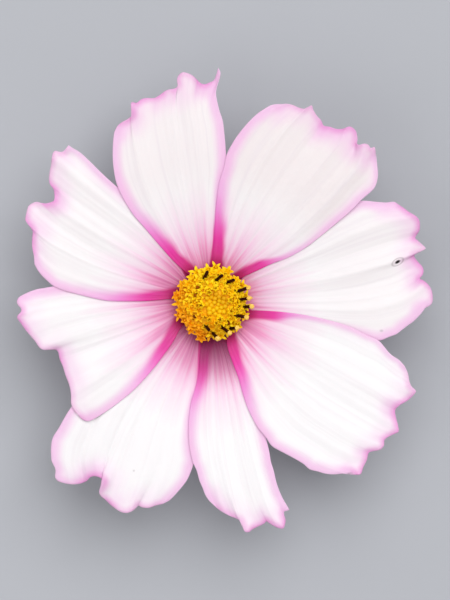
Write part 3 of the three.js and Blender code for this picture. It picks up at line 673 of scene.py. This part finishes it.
def floret_material(settings):
    """Yellow lobes that turn amber down the throat, partly as painted shade, and on the disc's side away from
    the light, as painted shade.
    """
    look = Look("disc_floret")
    depth = look.stored("depth")
    body = look.mix(look.fade(look.speckle(1600), 0.35, 0.7), settings.yellow, "ffc804")
    # Painted shade: the open florets on the disc's side away from the light are more orange, by their stored
    # shade
    body = look.mix(look.fade(look.stored("shade"), 0.3, 1), body, settings.orange)
    body = look.mix(look.stored("shut"), body, "d49c06")
    # Deeper below the dome: amber and then rust, partly the throats' own colour and partly painted shade in
    # the gaps
    body = look.mix(look.fade(depth, 0.2, 0.6), body, settings.amber)
    body = look.mix(look.fade(depth, 0.55, 1), body, settings.rust)
    return look.finish(body, {"Roughness": 0.5, "Specular IOR Level": 0.18}, look.speckle(5200), 0.05)


def anther_material(settings):
    """Dark maroon with paler streaks, and browner where it is deep in a throat."""
    look = Look("anther")
    body = look.mix(look.fade(look.speckle(2600), 0.5, 0.75, 0, 0.5), settings.anther, "5a200c")
    body = look.mix(look.stored("brown"), body, settings.rust)
    return look.finish(body, {"Roughness": 0.7, "Specular IOR Level": 0.06}, look.speckle(4200), 0.04)


def pollen_material(settings):
    """Pale yellow grains, clotted together."""
    look = Look("pollen")
    body = look.mix(look.fade(look.speckle(3600), 0.35, 0.7), settings.pollen, "eeac30")
    return look.finish(body, {"Roughness": 0.85}, look.speckle(7000), 0.1)


def green_material(settings):
    """Leaf green, streaked along the stem and the bracts."""
    look = Look("leaf_green")
    streak = look.speckle(1500)
    body = look.mix(look.fade(look.speckle(420), 0.35, 0.65), settings.green, settings.dark_green)
    body = look.mix(look.fade(streak, 0.5, 0.75, 0, 0.5), body, "93a862")
    values = {
        "Roughness": 0.5,
        "Subsurface Weight": 0.08,
        "Subsurface Radius": (0.5, 1, 0.2),
        "Subsurface Scale": 0.3 * MM,
    }
    return look.finish(body, values, streak, 0.06)


def membrane_material(settings):
    """Yellowish green with brown lengthwise veins and a pale, thin rim."""
    look = Look("thin_bract")
    veins = look.stripes(26)
    from_middle = look.calc("ABSOLUTE", look.minus(look.uv()[0], 0.5))
    body = look.mix(look.fade(veins, 0.5, 0.66, 0, 0.6), settings.membrane, "7a6a30")
    body = look.mix(look.fade(from_middle, 0.34, 0.5), body, settings.membrane_edge)
    return look.finish(body, {"Roughness": 0.45}, veins, 0.08)


def material_named(name, make, settings):
    """The material of that name, made the first time it is asked for."""
    return bpy.data.materials.get(name) or make(settings)


# Making pieces


def deselect():
    bpy.ops.object.select_all(action="DESELECT")


def begin():
    """Ready for a new primitive, with nothing selected."""
    if bpy.context.object and bpy.context.object.mode != "OBJECT":
        bpy.ops.object.mode_set(mode="OBJECT")
    deselect()


def apply_modifier(piece, kind, **settings):
    """Adds a modifier to the active piece and applies it at once."""
    bpy.context.view_layer.objects.active = piece
    bpy.ops.object.modifier_add(type=kind)
    modifier = piece.modifiers[-1]
    for name, value in settings.items():
        setattr(modifier, name, value)
    bpy.ops.object.modifier_apply(modifier=modifier.name)


def store(mesh, name, values):
    """Keeps a number for each vertex, or the same one for all, under that name."""
    if not isinstance(values, list):
        values = [values] * len(mesh.vertices)
    attribute = mesh.attributes.get(name) or mesh.attributes.new(name, "FLOAT", "POINT")
    attribute.data.foreach_set("value", values)


def finish_piece(piece, name, material, slot, *nodes):
    """Names a piece, gives it its material, and ties it to the frame."""
    piece.name = name
    piece.data.name = name
    piece.data.materials.clear()
    piece.data.materials.append(material)
    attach(piece, "root")
    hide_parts(*nodes)


def copies_joined(shape, placings):
    """One piece from copies of a small shape, each with its own mesh: (matrix, {stored name: number}).
    The first shape is used up."""
    copies = []
    for place, numbers in placings:
        mesh = shape.data.copy()
        for name, number in numbers.items():
            store(mesh, name, number)
        mesh.transform(place)
        copy = bpy.data.objects.new(shape.name, mesh)
        bpy.context.scene.collection.objects.link(copy)
        copies.append(copy)
    bpy.data.objects.remove(shape)
    deselect()
    for copy in copies:
        copy.select_set(True)
    bpy.context.view_layer.objects.active = copies[0]
    bpy.ops.object.join()
    return copies[0]


def widen(vertex, share):
    """Moves a vertex out from the Z axis, or in towards it."""
    vertex.co.x *= share
    vertex.co.y *= share


def ringed_shape(rings, sides):
    """A round shape, extruded ring by ring from a circle: rings are [radius, height] in millimetres."""
    begin()
    radius, height = rings[0]
    bpy.ops.mesh.primitive_circle_add(vertices=sides, radius=radius * MM, location=(0, 0, height * MM))
    bpy.ops.object.transform_apply(location=True)
    bpy.ops.object.mode_set(mode="EDIT")
    bpy.ops.mesh.select_all(action="SELECT")
    for next_radius, next_height in rings[1:]:
        rise = (0, 0, (next_height - height) * MM)
        bpy.ops.mesh.extrude_region_move(TRANSFORM_OT_translate={"value": rise})
        share = next_radius / radius
        bpy.ops.transform.resize(value=(share, share, 1), center_override=(0, 0, next_height * MM))
        radius, height = next_radius, next_height
    bpy.ops.object.mode_set(mode="OBJECT")
    return bpy.context.object


def fill_end(shape, height):
    """Closes the ring of vertices at a height, given in millimetres, with one face."""
    bpy.ops.object.mode_set(mode="EDIT")
    bpy.ops.mesh.select_all(action="DESELECT")
    bpy.ops.object.mode_set(mode="OBJECT")
    for vertex in shape.data.vertices:
        vertex.select = abs(vertex.co.z - height * MM) < 0.01 * MM
    bpy.ops.object.mode_set(mode="EDIT")
    bpy.ops.mesh.edge_face_add()
    bpy.ops.mesh.select_all(action="SELECT")
    bpy.ops.mesh.normals_make_consistent(inside=False)
    bpy.ops.object.mode_set(mode="OBJECT")


# Petals


class PetalSurface:
    """The middle surface of a petal. place goes from 0 at the left edge to 1 at the right one, and row
    from 0 at the claw to 1 at the tip."""

    rib_widths = (0.012, 0.024)  # as shares of the petal's width
    tooth_rise = 0.2  # how much a tooth of the tip rises for each millimetre that it stands out
    crimp_height = 0.08
    crimp_pace = 40  # how fast the tip's crimps follow each other, in radians across the petal

    def __init__(self, number, petal, settings):
        self.petal = petal
        self.settings = settings
        turn = math.radians(petal["heading"])
        out = Vector((math.cos(turn), math.sin(turn))) * CLAW_REACH
        side = Vector((-math.sin(turn), math.cos(turn))) * CLAW_HALF_WIDTH
        tip = petal["tip"]
        self.left = curve_through([out + side, *petal["left"], tip[0]])
        self.right = curve_through([out - side, *petal["right"], tip[-1]])
        self.tip = curve_through(tip)
        self.calm_left, self.calm_right = calmed(self.left), calmed(self.right)
        weight = 0
        bulge = Vector((0, 0))
        for place in (k / 100 for k in range(101)):
            bulge += (along(self.tip, place) - self.chord(place)) * self.arch(place)
            weight += self.arch(place) ** 2
        self.bulge = bulge / weight
        draw = random.Random(number)
        self.ribs = []
        for k in range(settings.ribs):
            at = (k + draw.uniform(0.1, 0.9)) / settings.ribs
            self.ribs.append((at, draw.uniform(0.4, 1), draw.uniform(*self.rib_widths)))
        self.wave = draw.uniform(0, math.tau)
        self.outward = (along(self.tip, 0.5) - out).normalized()

    @staticmethod
    def arch(place):
        return 4 * place * (1 - place)

    def chord(self, place):
        return self.tip[0].lerp(self.tip[-1], place)

    def tooth(self, place):
        """How far the tip departs from an even arch."""
        return along(self.tip, place) - self.chord(place) - self.bulge * self.arch(place)

    def plan(self, place, row):
        """The plan position: the two edges joined across, with the tip's bulge and teeth."""
        arch = self.arch(place)
        tooth = self.tooth(place)
        calm_left, calm_right = along(self.calm_left, row), along(self.calm_right, row)
        across = calm_left.lerp(calm_right, place)
        across += (along(self.left, row) - calm_left) * (1 - place) ** EDGE_FADE
        across += (along(self.right, row) - calm_right) * place**EDGE_FADE
        return across + self.bulge * (row * arch) + tooth * row**TOOTH_FADE

    def height(self, spot, place, row):
        petal, settings = self.petal, self.settings
        reach = spot.length
        climb = 1 - math.exp(-(reach - CLAW_REACH) * MM / settings.bowl_length)
        apart = smooth((reach - CLAW_REACH) / (LIFT_REACH - CLAW_REACH))
        folded = sum(height * crest(place - at, width) for at, height, width in petal["folds"])
        ribbed = sum(height * hill(place - at, width) for at, height, width in self.ribs)
        curled = sum(
            height * hill((spot - Vector((x, y))).length, radius) for x, y, height, radius in petal["curls"]
        )
        crimp = self.crimp_height * row**6 * math.sin(self.wave + self.crimp_pace * place)
        crimp += self.tooth_rise * self.tooth(place).dot(self.outward) * row**9
        return (
            CLAW_HEIGHT
            + settings.bowl_rise / MM * climb
            + apart * lerp(*petal["lift"], place)
            - petal["droop"] * row**4
            + folded * smooth(row)
            + settings.rib_height / MM * ribbed * smooth(row * 5) * (1 - 0.4 * row)
            + curled
            + crimp
        )


class COSMOS_OT_petals(bpy.types.Operator):
    """Model the eight petals, each a thin blade with a toothed tip"""

    bl_idname = "cosmos.petals"
    bl_label = "Petals"

    columns = 110
    rows = 96
    covered_reach, free_reach = 16, 26  # from one to the other, the margins return to their full width

    def execute(self, context):
        settings = context.scene.cosmos_petals
        material = material_named("ray_petal", petal_material, settings)
        for number, petal in enumerate(PETALS, 1):
            blade = self.blade(PetalSurface(number, petal, settings), number)
            apply_modifier(blade, "SOLIDIFY", thickness=settings.thickness, offset=0)
            bpy.ops.object.shade_smooth()
            finish_piece(blade, f"ray_petal_{number}", material, "petal", f"petal_{number}")
        return {"FINISHED"}

    def blade(self, surface, number):
        """A grid laid over the petal's surface, with each vertex's distance from the edges kept."""
        begin()
        bpy.ops.mesh.primitive_grid_add(x_subdivisions=self.columns, y_subdivisions=self.rows, size=1)
        blade = bpy.context.object
        petal = surface.petal
        trees = {name: nearest_finder(getattr(surface, name)) for name in ("left", "right", "tip")}
        numbers = {name: [] for name in (*trees, "reach", "tooth", "faded")}
        for vertex in blade.data.vertices:
            place, row = vertex.co.x + 0.5, vertex.co.y + 0.5
            spot = surface.plan(place, row)
            vertex.co = AXIS + Vector((spot.x, spot.y, surface.height(spot, place, row))) * MM
            for name, tree in trees.items():
                numbers[name].append(tree.find((spot.x, spot.y, 0))[2])
            freed = smooth((spot.length - self.covered_reach) / (self.free_reach - self.covered_reach))
            for name, share in zip(("left", "right"), petal["margins"]):
                numbers[name][-1] /= lerp(share, 1, freed)
            numbers["reach"].append(spot.length)
            numbers["faded"].append(lerp(*petal.get("fading", (0, 0)), place))
            numbers["tooth"].append(surface.tooth(place).dot(surface.outward) * petal.get("notches", 1))
        numbers |= {"number": number, "blush_and_shade": petal["blush_and_shade"], "painted_shade": petal["painted_shade"]}
        for name, values in numbers.items():
            store(blade.data, name, values)
        return blade


# The disc


def dome(settings, spot):
    """Height, in millimetres, of the dome of floret mouths over a plan position."""
    share = spot.length * MM / settings.radius
    return (settings.top - settings.drop * share**DOME_POWER) / MM


def growth(settings, spot):
    """The direction in which a floret grows: up in the middle of the disc, outwards at its edge."""
    if spot.length < 0.01:
        return UP.copy()
    lean = RIM_LEAN * (spot.length * MM / settings.radius) ** 1.5
    out = spot.normalized() * math.sin(lean)
    return Vector((out.x, out.y, math.cos(lean)))


def standing(settings, spot, direction, spin, size=1, sink=0):
    """The placing of a shape made along +Z: on the dome over a plan position, along a direction."""
    place = AXIS + Vector((spot.x, spot.y, dome(settings, spot))) * MM - direction.normalized() * sink * MM
    turn = UP.rotation_difference(direction).to_matrix().to_4x4() @ Matrix.Rotation(spin, 4, "Z")
    return Matrix.Translation(place) @ turn @ Matrix.Scale(size, 4)


def orange_share(spot, draw):
    """How much more orange a floret is, from 0 to 1: painted shade on the side away from the light, and
    chance.
    """
    side = spot.dot(DISC_SHADE_SIDE) / 7
    return min(1, max(0, 0.25 + 0.95 * side + draw.uniform(-0.2, 0.2)))


def spiral(start, end, first, last):
    """Plan positions from the first to before the last of a golden-angle spiral that fills a ring."""
    for k in range(first, last):
        reach = math.sqrt(lerp(start**2, end**2, (k + 0.5) / last))
        yield Vector((math.cos(k * GOLDEN_ANGLE), math.sin(k * GOLDEN_ANGLE))) * reach


def open_spots(settings):
    """Plan positions of the open florets with no tube of anthers, round the shut ones."""
    for spot in spiral(1, settings.radius / MM, 0, settings.open_florets):
        clear = (spot - BUD_MIDDLE).length > settings.bud_zone / MM + BUD_GAP
        if clear and all((spot - Vector(taken[:2])).length > FLORET_GAP for taken in (*TUBED, *THROATS)):
            yield spot


def star_shape(rings, first_lobed, lobe, notch, seed):
    """A tube with five pointed lobes. rings go from the foot to the lobes' tips, and from the first
    lobed one on, more and more, the lobes are drawn out and the notches between them in. Each lobe has
    a length and a rise of its own."""
    shape = ringed_shape(rings, LOBES * LOBE_SIDES)
    draw = random.Random(seed)
    lobes = [(draw.uniform(0.8, 1.2), draw.uniform(-0.15, 0.25)) for _ in range(LOBES)]
    for k, vertex in enumerate(shape.data.vertices):
        ring, side = divmod(k, LOBES * LOBE_SIDES)
        grown = max(0, ring - first_lobed + 1) / (len(rings) - first_lobed)
        size, rise = lobes[(side + LOBE_SIDES // 2) // LOBE_SIDES % LOBES]
        peak = abs(1 - side % LOBE_SIDES / (LOBE_SIDES / 2))
        widen(vertex, lerp(1, lerp(notch, lobe * size, peak), grown))
        vertex.co.z += rise * peak * grown**2 * MM
    apply_modifier(shape, "SOLIDIFY", thickness=0.08 * MM, offset=-1)
    return shape


def finish_florets(settings, florets, name):
    """Stores how far each vertex lies below the dome, from 0 to 1 at the deepest, for painted shade; finishes
    the piece.
    """
    depths = []
    for vertex in florets.data.vertices:
        place = (vertex.co - AXIS) / MM
        allowed = RIM_ALLOWANCE * smooth((place.to_2d().length - 4) / 2.5)
        depths.append(min(1, max(0, (dome(settings, place.to_2d()) - place.z - allowed) / DEEPEST)))
    store(florets.data, "depth", depths)
    bpy.ops.object.shade_smooth()
    material = material_named("disc_floret", floret_material, settings)
    finish_piece(florets, name, material, "disc", "disc_florets")


class COSMOS_OT_disc_core(bpy.types.Operator):
    """Model the dome that the disc florets stand on"""

    bl_idname = "cosmos.disc_core"
    bl_label = "Disc core"

    sides = 80
    ribs = 20
    rib_height = 0.03  # as a share of the radius

    def execute(self, context):
        settings = context.scene.cosmos_disc
        foot = RECEPTACLE_TOP + SEAT_GAP
        rings = [
            (3.9, foot), (3.95, 9.4), (4.6, 10.3), (5.9, 10.9), (6.2, 11.5), (5.6, 12.3), (4.4, 13.05),
            (2.9, 13.55), (1.4, 13.8),
        ]
        core = ringed_shape(rings, self.sides)
        for vertex in core.data.vertices:
            widen(vertex, 1 + self.rib_height * math.cos(self.ribs * math.atan2(vertex.co.y, vertex.co.x)))
        fill_end(core, foot)
        fill_end(core, rings[-1][1])
        core.data.transform(Matrix.Translation(AXIS))
        apply_modifier(core, "SUBSURF", levels=1, render_levels=1)
        store(core.data, "shade", 0.5)
        finish_florets(settings, core, "disc_core")
        return {"FINISHED"}


class COSMOS_OT_shut_florets(bpy.types.Operator):
    """Model the shut florets in the middle of the disc"""

    bl_idname = "cosmos.shut_florets"
    bl_label = "Shut florets"

    radius = 0.52 * MM
    groove_depth = 0.13
    upper_stretch, lower_stretch = 1.35, 2.2

    def execute(self, context):
        settings = context.scene.cosmos_disc
        begin()
        bpy.ops.mesh.primitive_uv_sphere_add(segments=20, ring_count=10, radius=self.radius)
        bud = bpy.context.object
        for vertex in bud.data.vertices:
            turn = math.atan2(vertex.co.y, vertex.co.x)
            widen(vertex, 1 - self.groove_depth * (0.5 + 0.5 * math.cos(LOBES * turn)) ** 3)
            vertex.co.z *= self.upper_stretch if vertex.co.z > 0 else self.lower_stretch
        draw = random.Random(11)
        placings = []
        for spot in spiral(0, settings.bud_zone / MM, 0, settings.buds):
            size = lerp(0.84, 1.12, spot.length * MM / settings.bud_zone) * draw.uniform(0.94, 1.06)
            spot = spot + BUD_MIDDLE
            spin, sink = draw.uniform(0, 6), draw.uniform(0.5, 0.75)
            place = standing(settings, spot, growth(settings, spot), spin, size, sink)
            shade = 0.55 + 0.1 * spot.dot(Vector((-0.3, 1))) + draw.uniform(-0.15, 0.15)
            placings.append((place, {"shade": shade, "shut": 0.42 + 0.15 * max(0, spot.x + spot.y)}))
        finish_florets(settings, copies_joined(bud, placings), "shut_florets")
        return {"FINISHED"}


class COSMOS_OT_open_florets(bpy.types.Operator):
    """Model the open florets, whose mouths spread into five pointed lobes"""

    bl_idname = "cosmos.open_florets"
    bl_label = "Open florets"

    # Each kind's name and rings, its settings for star_shape, and the seed and lean of its copies
    kinds = (
        (
            "opening_florets",
            [(0.3, -1.4), (0.38, -0.6), (0.5, -0.1), (0.58, 0.2), (0.56, 0.5), (0.44, 0.8)],
            (2, 1.2, 0.28, 1), 31, 0,
        ),
        (
            "open_florets",
            [(0.26, -1.3), (0.34, -0.5), (0.46, -0.16), (0.6, -0.02), (0.76, 0.05), (0.9, 0.07), (1, 0.02)],
            (3, 1.3, 0.32, 2), 23, 0,
        ),
        (
            "cupped_florets",
            [
                (0.26, -1.3), (0.34, -0.6), (0.44, -0.25), (0.56, 0.02), (0.7, 0.19), (0.84, 0.31),
                (0.95, 0.42),
            ],
            (3, 1.3, 0.3, 3), 29, 0.5,
        ),
    )
    stigma_radius = 0.2 * MM
    stigma_seed = 41

    def execute(self, context):
        settings = context.scene.cosmos_disc
        spots = [*open_spots(settings), *(Vector(taken[:2]) for taken in (*TUBED, *THROATS))]
        inner_spots, outer_spots = [], []
        for spot in spots:
            inner = (spot - BUD_MIDDLE).length < settings.bud_zone / MM + 1
            (inner_spots if inner else outer_spots).append(spot)
        groups = (inner_spots, outer_spots[::2], outer_spots[1::2])
        for group, (name, rings, form, seed, lean) in zip(groups, self.kinds):
            florets = self.copies(settings, star_shape(rings, *form), group, seed, lean)
            finish_florets(settings, florets, name)

        begin()
        bpy.ops.mesh.primitive_ico_sphere_add(subdivisions=2, radius=self.stigma_radius)
        stigma = bpy.context.object
        for vertex in stigma.data.vertices:
            vertex.co.z *= 2
        stigma.data.transform(Matrix.Translation((0, 0, -0.02 * MM)))
        stigmas = self.copies(settings, stigma, outer_spots[::3], self.stigma_seed, 0)
        finish_florets(settings, stigmas, "stigmas")
        return {"FINISHED"}

    def copies(self, settings, shape, spots, seed, lean):
        """Copies of a shape over plan positions, each with a tilt, turn and size of its own. lean tilts
        them outwards, the more the further out they are."""
        draw = random.Random(seed)
        placings = []
        for spot in spots:
            wobble = Vector([draw.uniform(-0.18, 0.18) for _ in range(3)])
            direction = growth(settings, spot) + wobble
            direction += Vector((spot.x, spot.y, 0)) * lean * MM / settings.radius
            size = lerp(0.86, 0.96, spot.length * MM / settings.radius) * draw.uniform(0.85, 1.15)
            spin, sink = draw.uniform(0, 6), draw.uniform(-0.2, 0.1)
            place = standing(settings, spot, direction, spin, size, sink)
            placings.append((place, {"shade": orange_share(spot, draw)}))
        return copies_joined(shape, placings)


def tube_placings(settings):
    """The placing of each tube of anthers, from where it starts and ends in plan, and its pollen."""
    draw = random.Random(5)
    for x, y, tip_x, tip_y, pollen in TUBED:
        run = Vector((tip_x - x, tip_y - y))
        up = math.sqrt((settings.tube_length / MM) ** 2 - run.length_squared)
        direction = Vector((run.x, run.y, up))
        yield standing(settings, Vector((x, y)), direction, draw.uniform(0, 6), sink=-0.3), pollen


class COSMOS_OT_anthers(bpy.types.Operator):
    """Model the dark tubes of anthers and the pollen pushed out of them"""

    bl_idname = "cosmos.anthers"
    bl_label = "Anther tubes and pollen"

    def execute(self, context):
        settings = context.scene.cosmos_disc
        top = settings.tube_length / MM
        rings = [
            (0.24, -1), (0.27, 0), (0.31, top / 2), (0.33, top - 0.25), (0.28, top - 0.05), (0.12, top),
        ]
        tube = ringed_shape(rings, 20)
        fill_end(tube, rings[0][1])
        fill_end(tube, rings[-1][1])
        for k, vertex in enumerate(tube.data.vertices):
            if k % 4 == 0:
                widen(vertex, 0.86)
        apply_modifier(tube, "SUBSURF", levels=1, render_levels=1)
        places = list(tube_placings(settings))
        placings = [(place, {"brown": 0}) for place, _ in places]
        for x, y, brown in THROATS:
            spot = Vector((x, y))
            placings.append((standing(settings, spot, growth(settings, spot), 0, sink=1.5), {"brown": brown}))
        tubes = copies_joined(tube, placings)
        bpy.ops.object.shade_smooth()
        material = material_named("anther", anther_material, settings)
        finish_piece(tubes, "anther_tubes", material, "disc", "disc_florets")

        begin()
        bpy.ops.mesh.primitive_ico_sphere_add(subdivisions=4, radius=MM)
        clot = bpy.context.object
        for vertex in clot.data.vertices:
            vertex.co *= 1 + 0.22 * noise.noise(vertex.co / (0.37 * MM))
        mouth = Matrix.Translation((0, 0, (top + 0.2) * MM))
        placings = [(place @ mouth @ Matrix.Scale(size, 4), {}) for place, size in places if size]
        clots = copies_joined(clot, placings)
        bpy.ops.object.shade_smooth()
        material = material_named("pollen", pollen_material, settings)
        finish_piece(clots, "pollen_clots", material, "disc", "disc_florets")
        return {"FINISHED"}


# Bracts, receptacle and stem


def bract(path, half_width, gutter, direction, thickness):
    """A blade that follows a path of (reach, height) outwards and is widened to both sides. gutter is how
    high its two edges rise."""
    begin()
    bpy.ops.mesh.primitive_grid_add(x_subdivisions=BRACT_COLUMNS, y_subdivisions=BRACT_ROWS, size=1)
    blade = bpy.context.object
    spine = curve_through(path)
    turn = Matrix.Rotation(math.radians(direction), 4, "Z")
    for vertex in blade.data.vertices:
        side, row = -2 * vertex.co.x, vertex.co.y + 0.5
        reach, height = along(spine, row)
        raised = gutter * side * side * (1 - row)
        rib = 0.08 * hill(side, 0.16) * (1 - row)
        place = Vector((reach, side * half_width(row), height + raised - rib))
        vertex.co = AXIS + (turn @ place) * MM
    apply_modifier(blade, "SOLIDIFY", thickness=thickness, offset=0)
    bpy.ops.object.shade_smooth()
    return blade


class COSMOS_OT_outer_bracts(bpy.types.Operator):
    """Model the narrow green outer bracts, four of which carry the bloom"""

    bl_idname = "cosmos.outer_bracts"
    bl_label = "Outer bracts"

    half_width = 1.2

    def execute(self, context):
        settings = context.scene.cosmos_greens
        material = material_named("leaf_green", green_material, settings)
        thickness = settings.bract_thickness
        for number, (direction, reach, rise) in enumerate(OUTER_BRACTS, 1):
            end = rise + thickness / MM / 2
            path = [
                (3.15, 4.9), (4.6, 5.2), (6.5, lerp(4.7, 5.2, rise / 3)), (8.8, lerp(2.7, 4.8, rise / 3)),
                (reach - 2.4, end + 0.4), (reach - 1.7, end), (reach, end),
            ]
            blade = bract(path, self.width, 0.3, direction, thickness)
            for vertex in blade.data.vertices:
                vertex.co.z = max(vertex.co.z, 0)
            finish_piece(blade, f"green_bract_{number}", material, "green", f"outer_bract_{number}")
        return {"FINISHED"}

    def width(self, row):
        body = self.half_width * (0.75 + 0.25 * math.sin(math.pi * row)) * (1 - 0.55 * row)
        return lerp(body, BRACT_TIP_HALF_WIDTH * (1 - row**8), row**3)


class COSMOS_OT_inner_bracts(bpy.types.Operator):
    """Model the broad, thin inner bracts under the petals"""

    bl_idname = "cosmos.inner_bracts"
    bl_label = "Inner bracts"

    half_width = 2.2

    def execute(self, context):
        settings = context.scene.cosmos_greens
        material = material_named("thin_bract", membrane_material, settings)
        path = [(4.45, 6.4), (5.6, 7.2), (7.8, 8.05), (10, 8.55), (11.6, 8.8)]
        for number in range(1, INNER_BRACTS + 1):
            direction = INNER_BRACT_FIRST + (number - 1) * 360 / INNER_BRACTS
            blade = bract(path, self.width, 0.25, direction, settings.bract_thickness * 0.7)
            finish_piece(blade, f"thin_bract_{number}", material, "membrane", f"inner_bract_{number}")
        return {"FINISHED"}

    def width(self, row):
        body = self.half_width * (0.62 + 0.38 * math.sin(math.pi * min(1, row * 1.1)))
        return lerp(body, BRACT_TIP_HALF_WIDTH * (1 - row**8), row**3)


class COSMOS_OT_receptacle(bpy.types.Operator):
    """Model the cup that carries the petals, and the ribbed stub of stem"""

    bl_idname = "cosmos.receptacle"
    bl_label = "Receptacle and stem"

    ribs = 10
    rib_height = 0.035  # as a share of the radius

    def execute(self, context):
        settings = context.scene.cosmos_greens
        stem, stub = settings.stem_radius / MM, settings.stub_length / MM
        profile = [
            (stem * 1.06, 0), (stem, 0.6), (stem, stub), (1.35, 4), (2.4, 4.8), (3.3, 5.7), (4, 6.6),
            (4.8, 7.6), (5.1, RECEPTACLE_TOP),
        ]
        rings = curve_through(profile)[::3]
        rings[-1] = Vector(profile[-1])
        cup = ringed_shape([tuple(ring) for ring in rings], 60)
        for vertex in cup.data.vertices:
            turn = math.atan2(vertex.co.y, vertex.co.x)
            below = 1 - vertex.co.z / (RECEPTACLE_TOP * MM)
            widen(vertex, 1 + self.rib_height * math.cos(self.ribs * turn) * below)
        fill_end(cup, rings[0][1])
        fill_end(cup, RECEPTACLE_TOP)
        cup.data.transform(Matrix.Translation(AXIS))
        bpy.ops.object.shade_smooth_by_angle(angle=math.radians(50))
        material = material_named("leaf_green", green_material, settings)
        finish_piece(cup, "cup_and_stub", material, "green", "receptacle_and_stem")
        return {"FINISHED"}


# The stage


def add_light(name, position, aim, size, power):
    """A square area light at a position, in metres, pointed at another."""
    begin()
    bpy.ops.object.light_add(type="AREA", location=position)
    light = bpy.context.object
    light.name = name
    light.data.size = size
    light.data.energy = power
    light.rotation_euler = (Vector(position) - Vector(aim)).to_track_quat("Z", "Y").to_euler()


class COSMOS_OT_stage(bpy.types.Operator):
    """Add the plain floor, the soft lights and the camera straight above"""

    bl_idname = "cosmos.stage"
    bl_label = "Floor, lights and camera"

    key_place, key_size = (0.3, 0.68, 1.33), 1.5  # in metres, as the fill's
    fill_place, fill_size = (-0.5, -0.3, 0.6), 0.6
    shade_range = (0.985, 1.015)  # the floor's faint mottling

    def execute(self, context):
        settings = context.scene.cosmos_stage
        begin()
        bpy.ops.mesh.primitive_plane_add(size=settings.floor_size)
        floor = context.object
        floor.name = "floor"
        look = Look("floor")
        shades = [tuple(part * share for part in settings.floor) for share in self.shade_range]
        floor.data.materials.append(look.finish(look.mix(look.speckle(30), *shades), {"Roughness": 0.9}))
        floor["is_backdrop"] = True

        middle = (0, 0, settings.tip_height)
        add_light("key", self.key_place, middle, self.key_size, settings.key_power)
        add_light("fill", self.fill_place, middle, self.fill_size, settings.fill_power)
        world = bpy.data.worlds.new("soft_sky")
        world.use_nodes = True
        sky = world.node_tree.nodes["Background"].inputs
        sky["Color"].default_value = (1, 1, 1, 1)
        sky["Strength"].default_value = settings.sky
        context.scene.world = world
        context.scene.view_settings.view_transform = "Standard"

        begin()
        height = settings.tip_height + settings.camera_height
        bpy.ops.object.camera_add(location=(0, 0, height), rotation=(0, 0, 0))
        camera = context.object
        camera.data.sensor_width = 36
        camera.data.lens = camera.data.sensor_width * settings.camera_height / settings.view_height
        camera.data.clip_start = 0.01
        context.scene.camera = camera
        return {"FINISHED"}


# The add-on


PIECES = (
    COSMOS_OT_petals,
    COSMOS_OT_disc_core,
    COSMOS_OT_shut_florets,
    COSMOS_OT_open_florets,
    COSMOS_OT_anthers,
    COSMOS_OT_outer_bracts,
    COSMOS_OT_inner_bracts,
    COSMOS_OT_receptacle,
    COSMOS_OT_stage,
)
SETTINGS = {
    "cosmos_petals": CosmosPetalSettings,
    "cosmos_disc": CosmosDiscSettings,
    "cosmos_greens": CosmosGreenSettings,
    "cosmos_stage": CosmosStageSettings,
}


class COSMOS_PT_bloom(bpy.types.Panel):
    """The bloom's pieces and their settings"""

    bl_label = "Cosmos Bloom"
    bl_idname = "COSMOS_PT_bloom"
    bl_space_type = "VIEW_3D"
    bl_region_type = "UI"
    bl_category = "Cosmos"

    def draw(self, context):
        for piece in PIECES:
            self.layout.operator(piece.bl_idname)
        for name, group in SETTINGS.items():
            box = self.layout.box()
            for field in group.__annotations__:
                box.prop(getattr(context.scene, name), field)


def register():
    for group in (*SETTINGS.values(), *PIECES, COSMOS_PT_bloom):
        bpy.utils.register_class(group)
    for name, group in SETTINGS.items():
        setattr(bpy.types.Scene, name, PointerProperty(type=group))


def unregister():
    for name in SETTINGS:
        delattr(bpy.types.Scene, name)
    for group in (COSMOS_PT_bloom, *reversed(PIECES), *reversed(SETTINGS.values())):
        bpy.utils.unregister_class(group)


def main():
    """Makes every piece and the stage."""
    register()
    bpy.ops.cosmos.petals()
    bpy.ops.cosmos.disc_core()
    bpy.ops.cosmos.shut_florets()
    bpy.ops.cosmos.open_florets()
    bpy.ops.cosmos.anthers()
    bpy.ops.cosmos.outer_bracts()
    bpy.ops.cosmos.inner_bracts()
    bpy.ops.cosmos.receptacle()
    bpy.ops.cosmos.stage()
    sizes = {"cad": CAD_BOX, "visual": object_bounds()}
    {name: [list(corner) for corner in box] for name, box in sizes.items()}


if __name__ == "__main__":
    main()
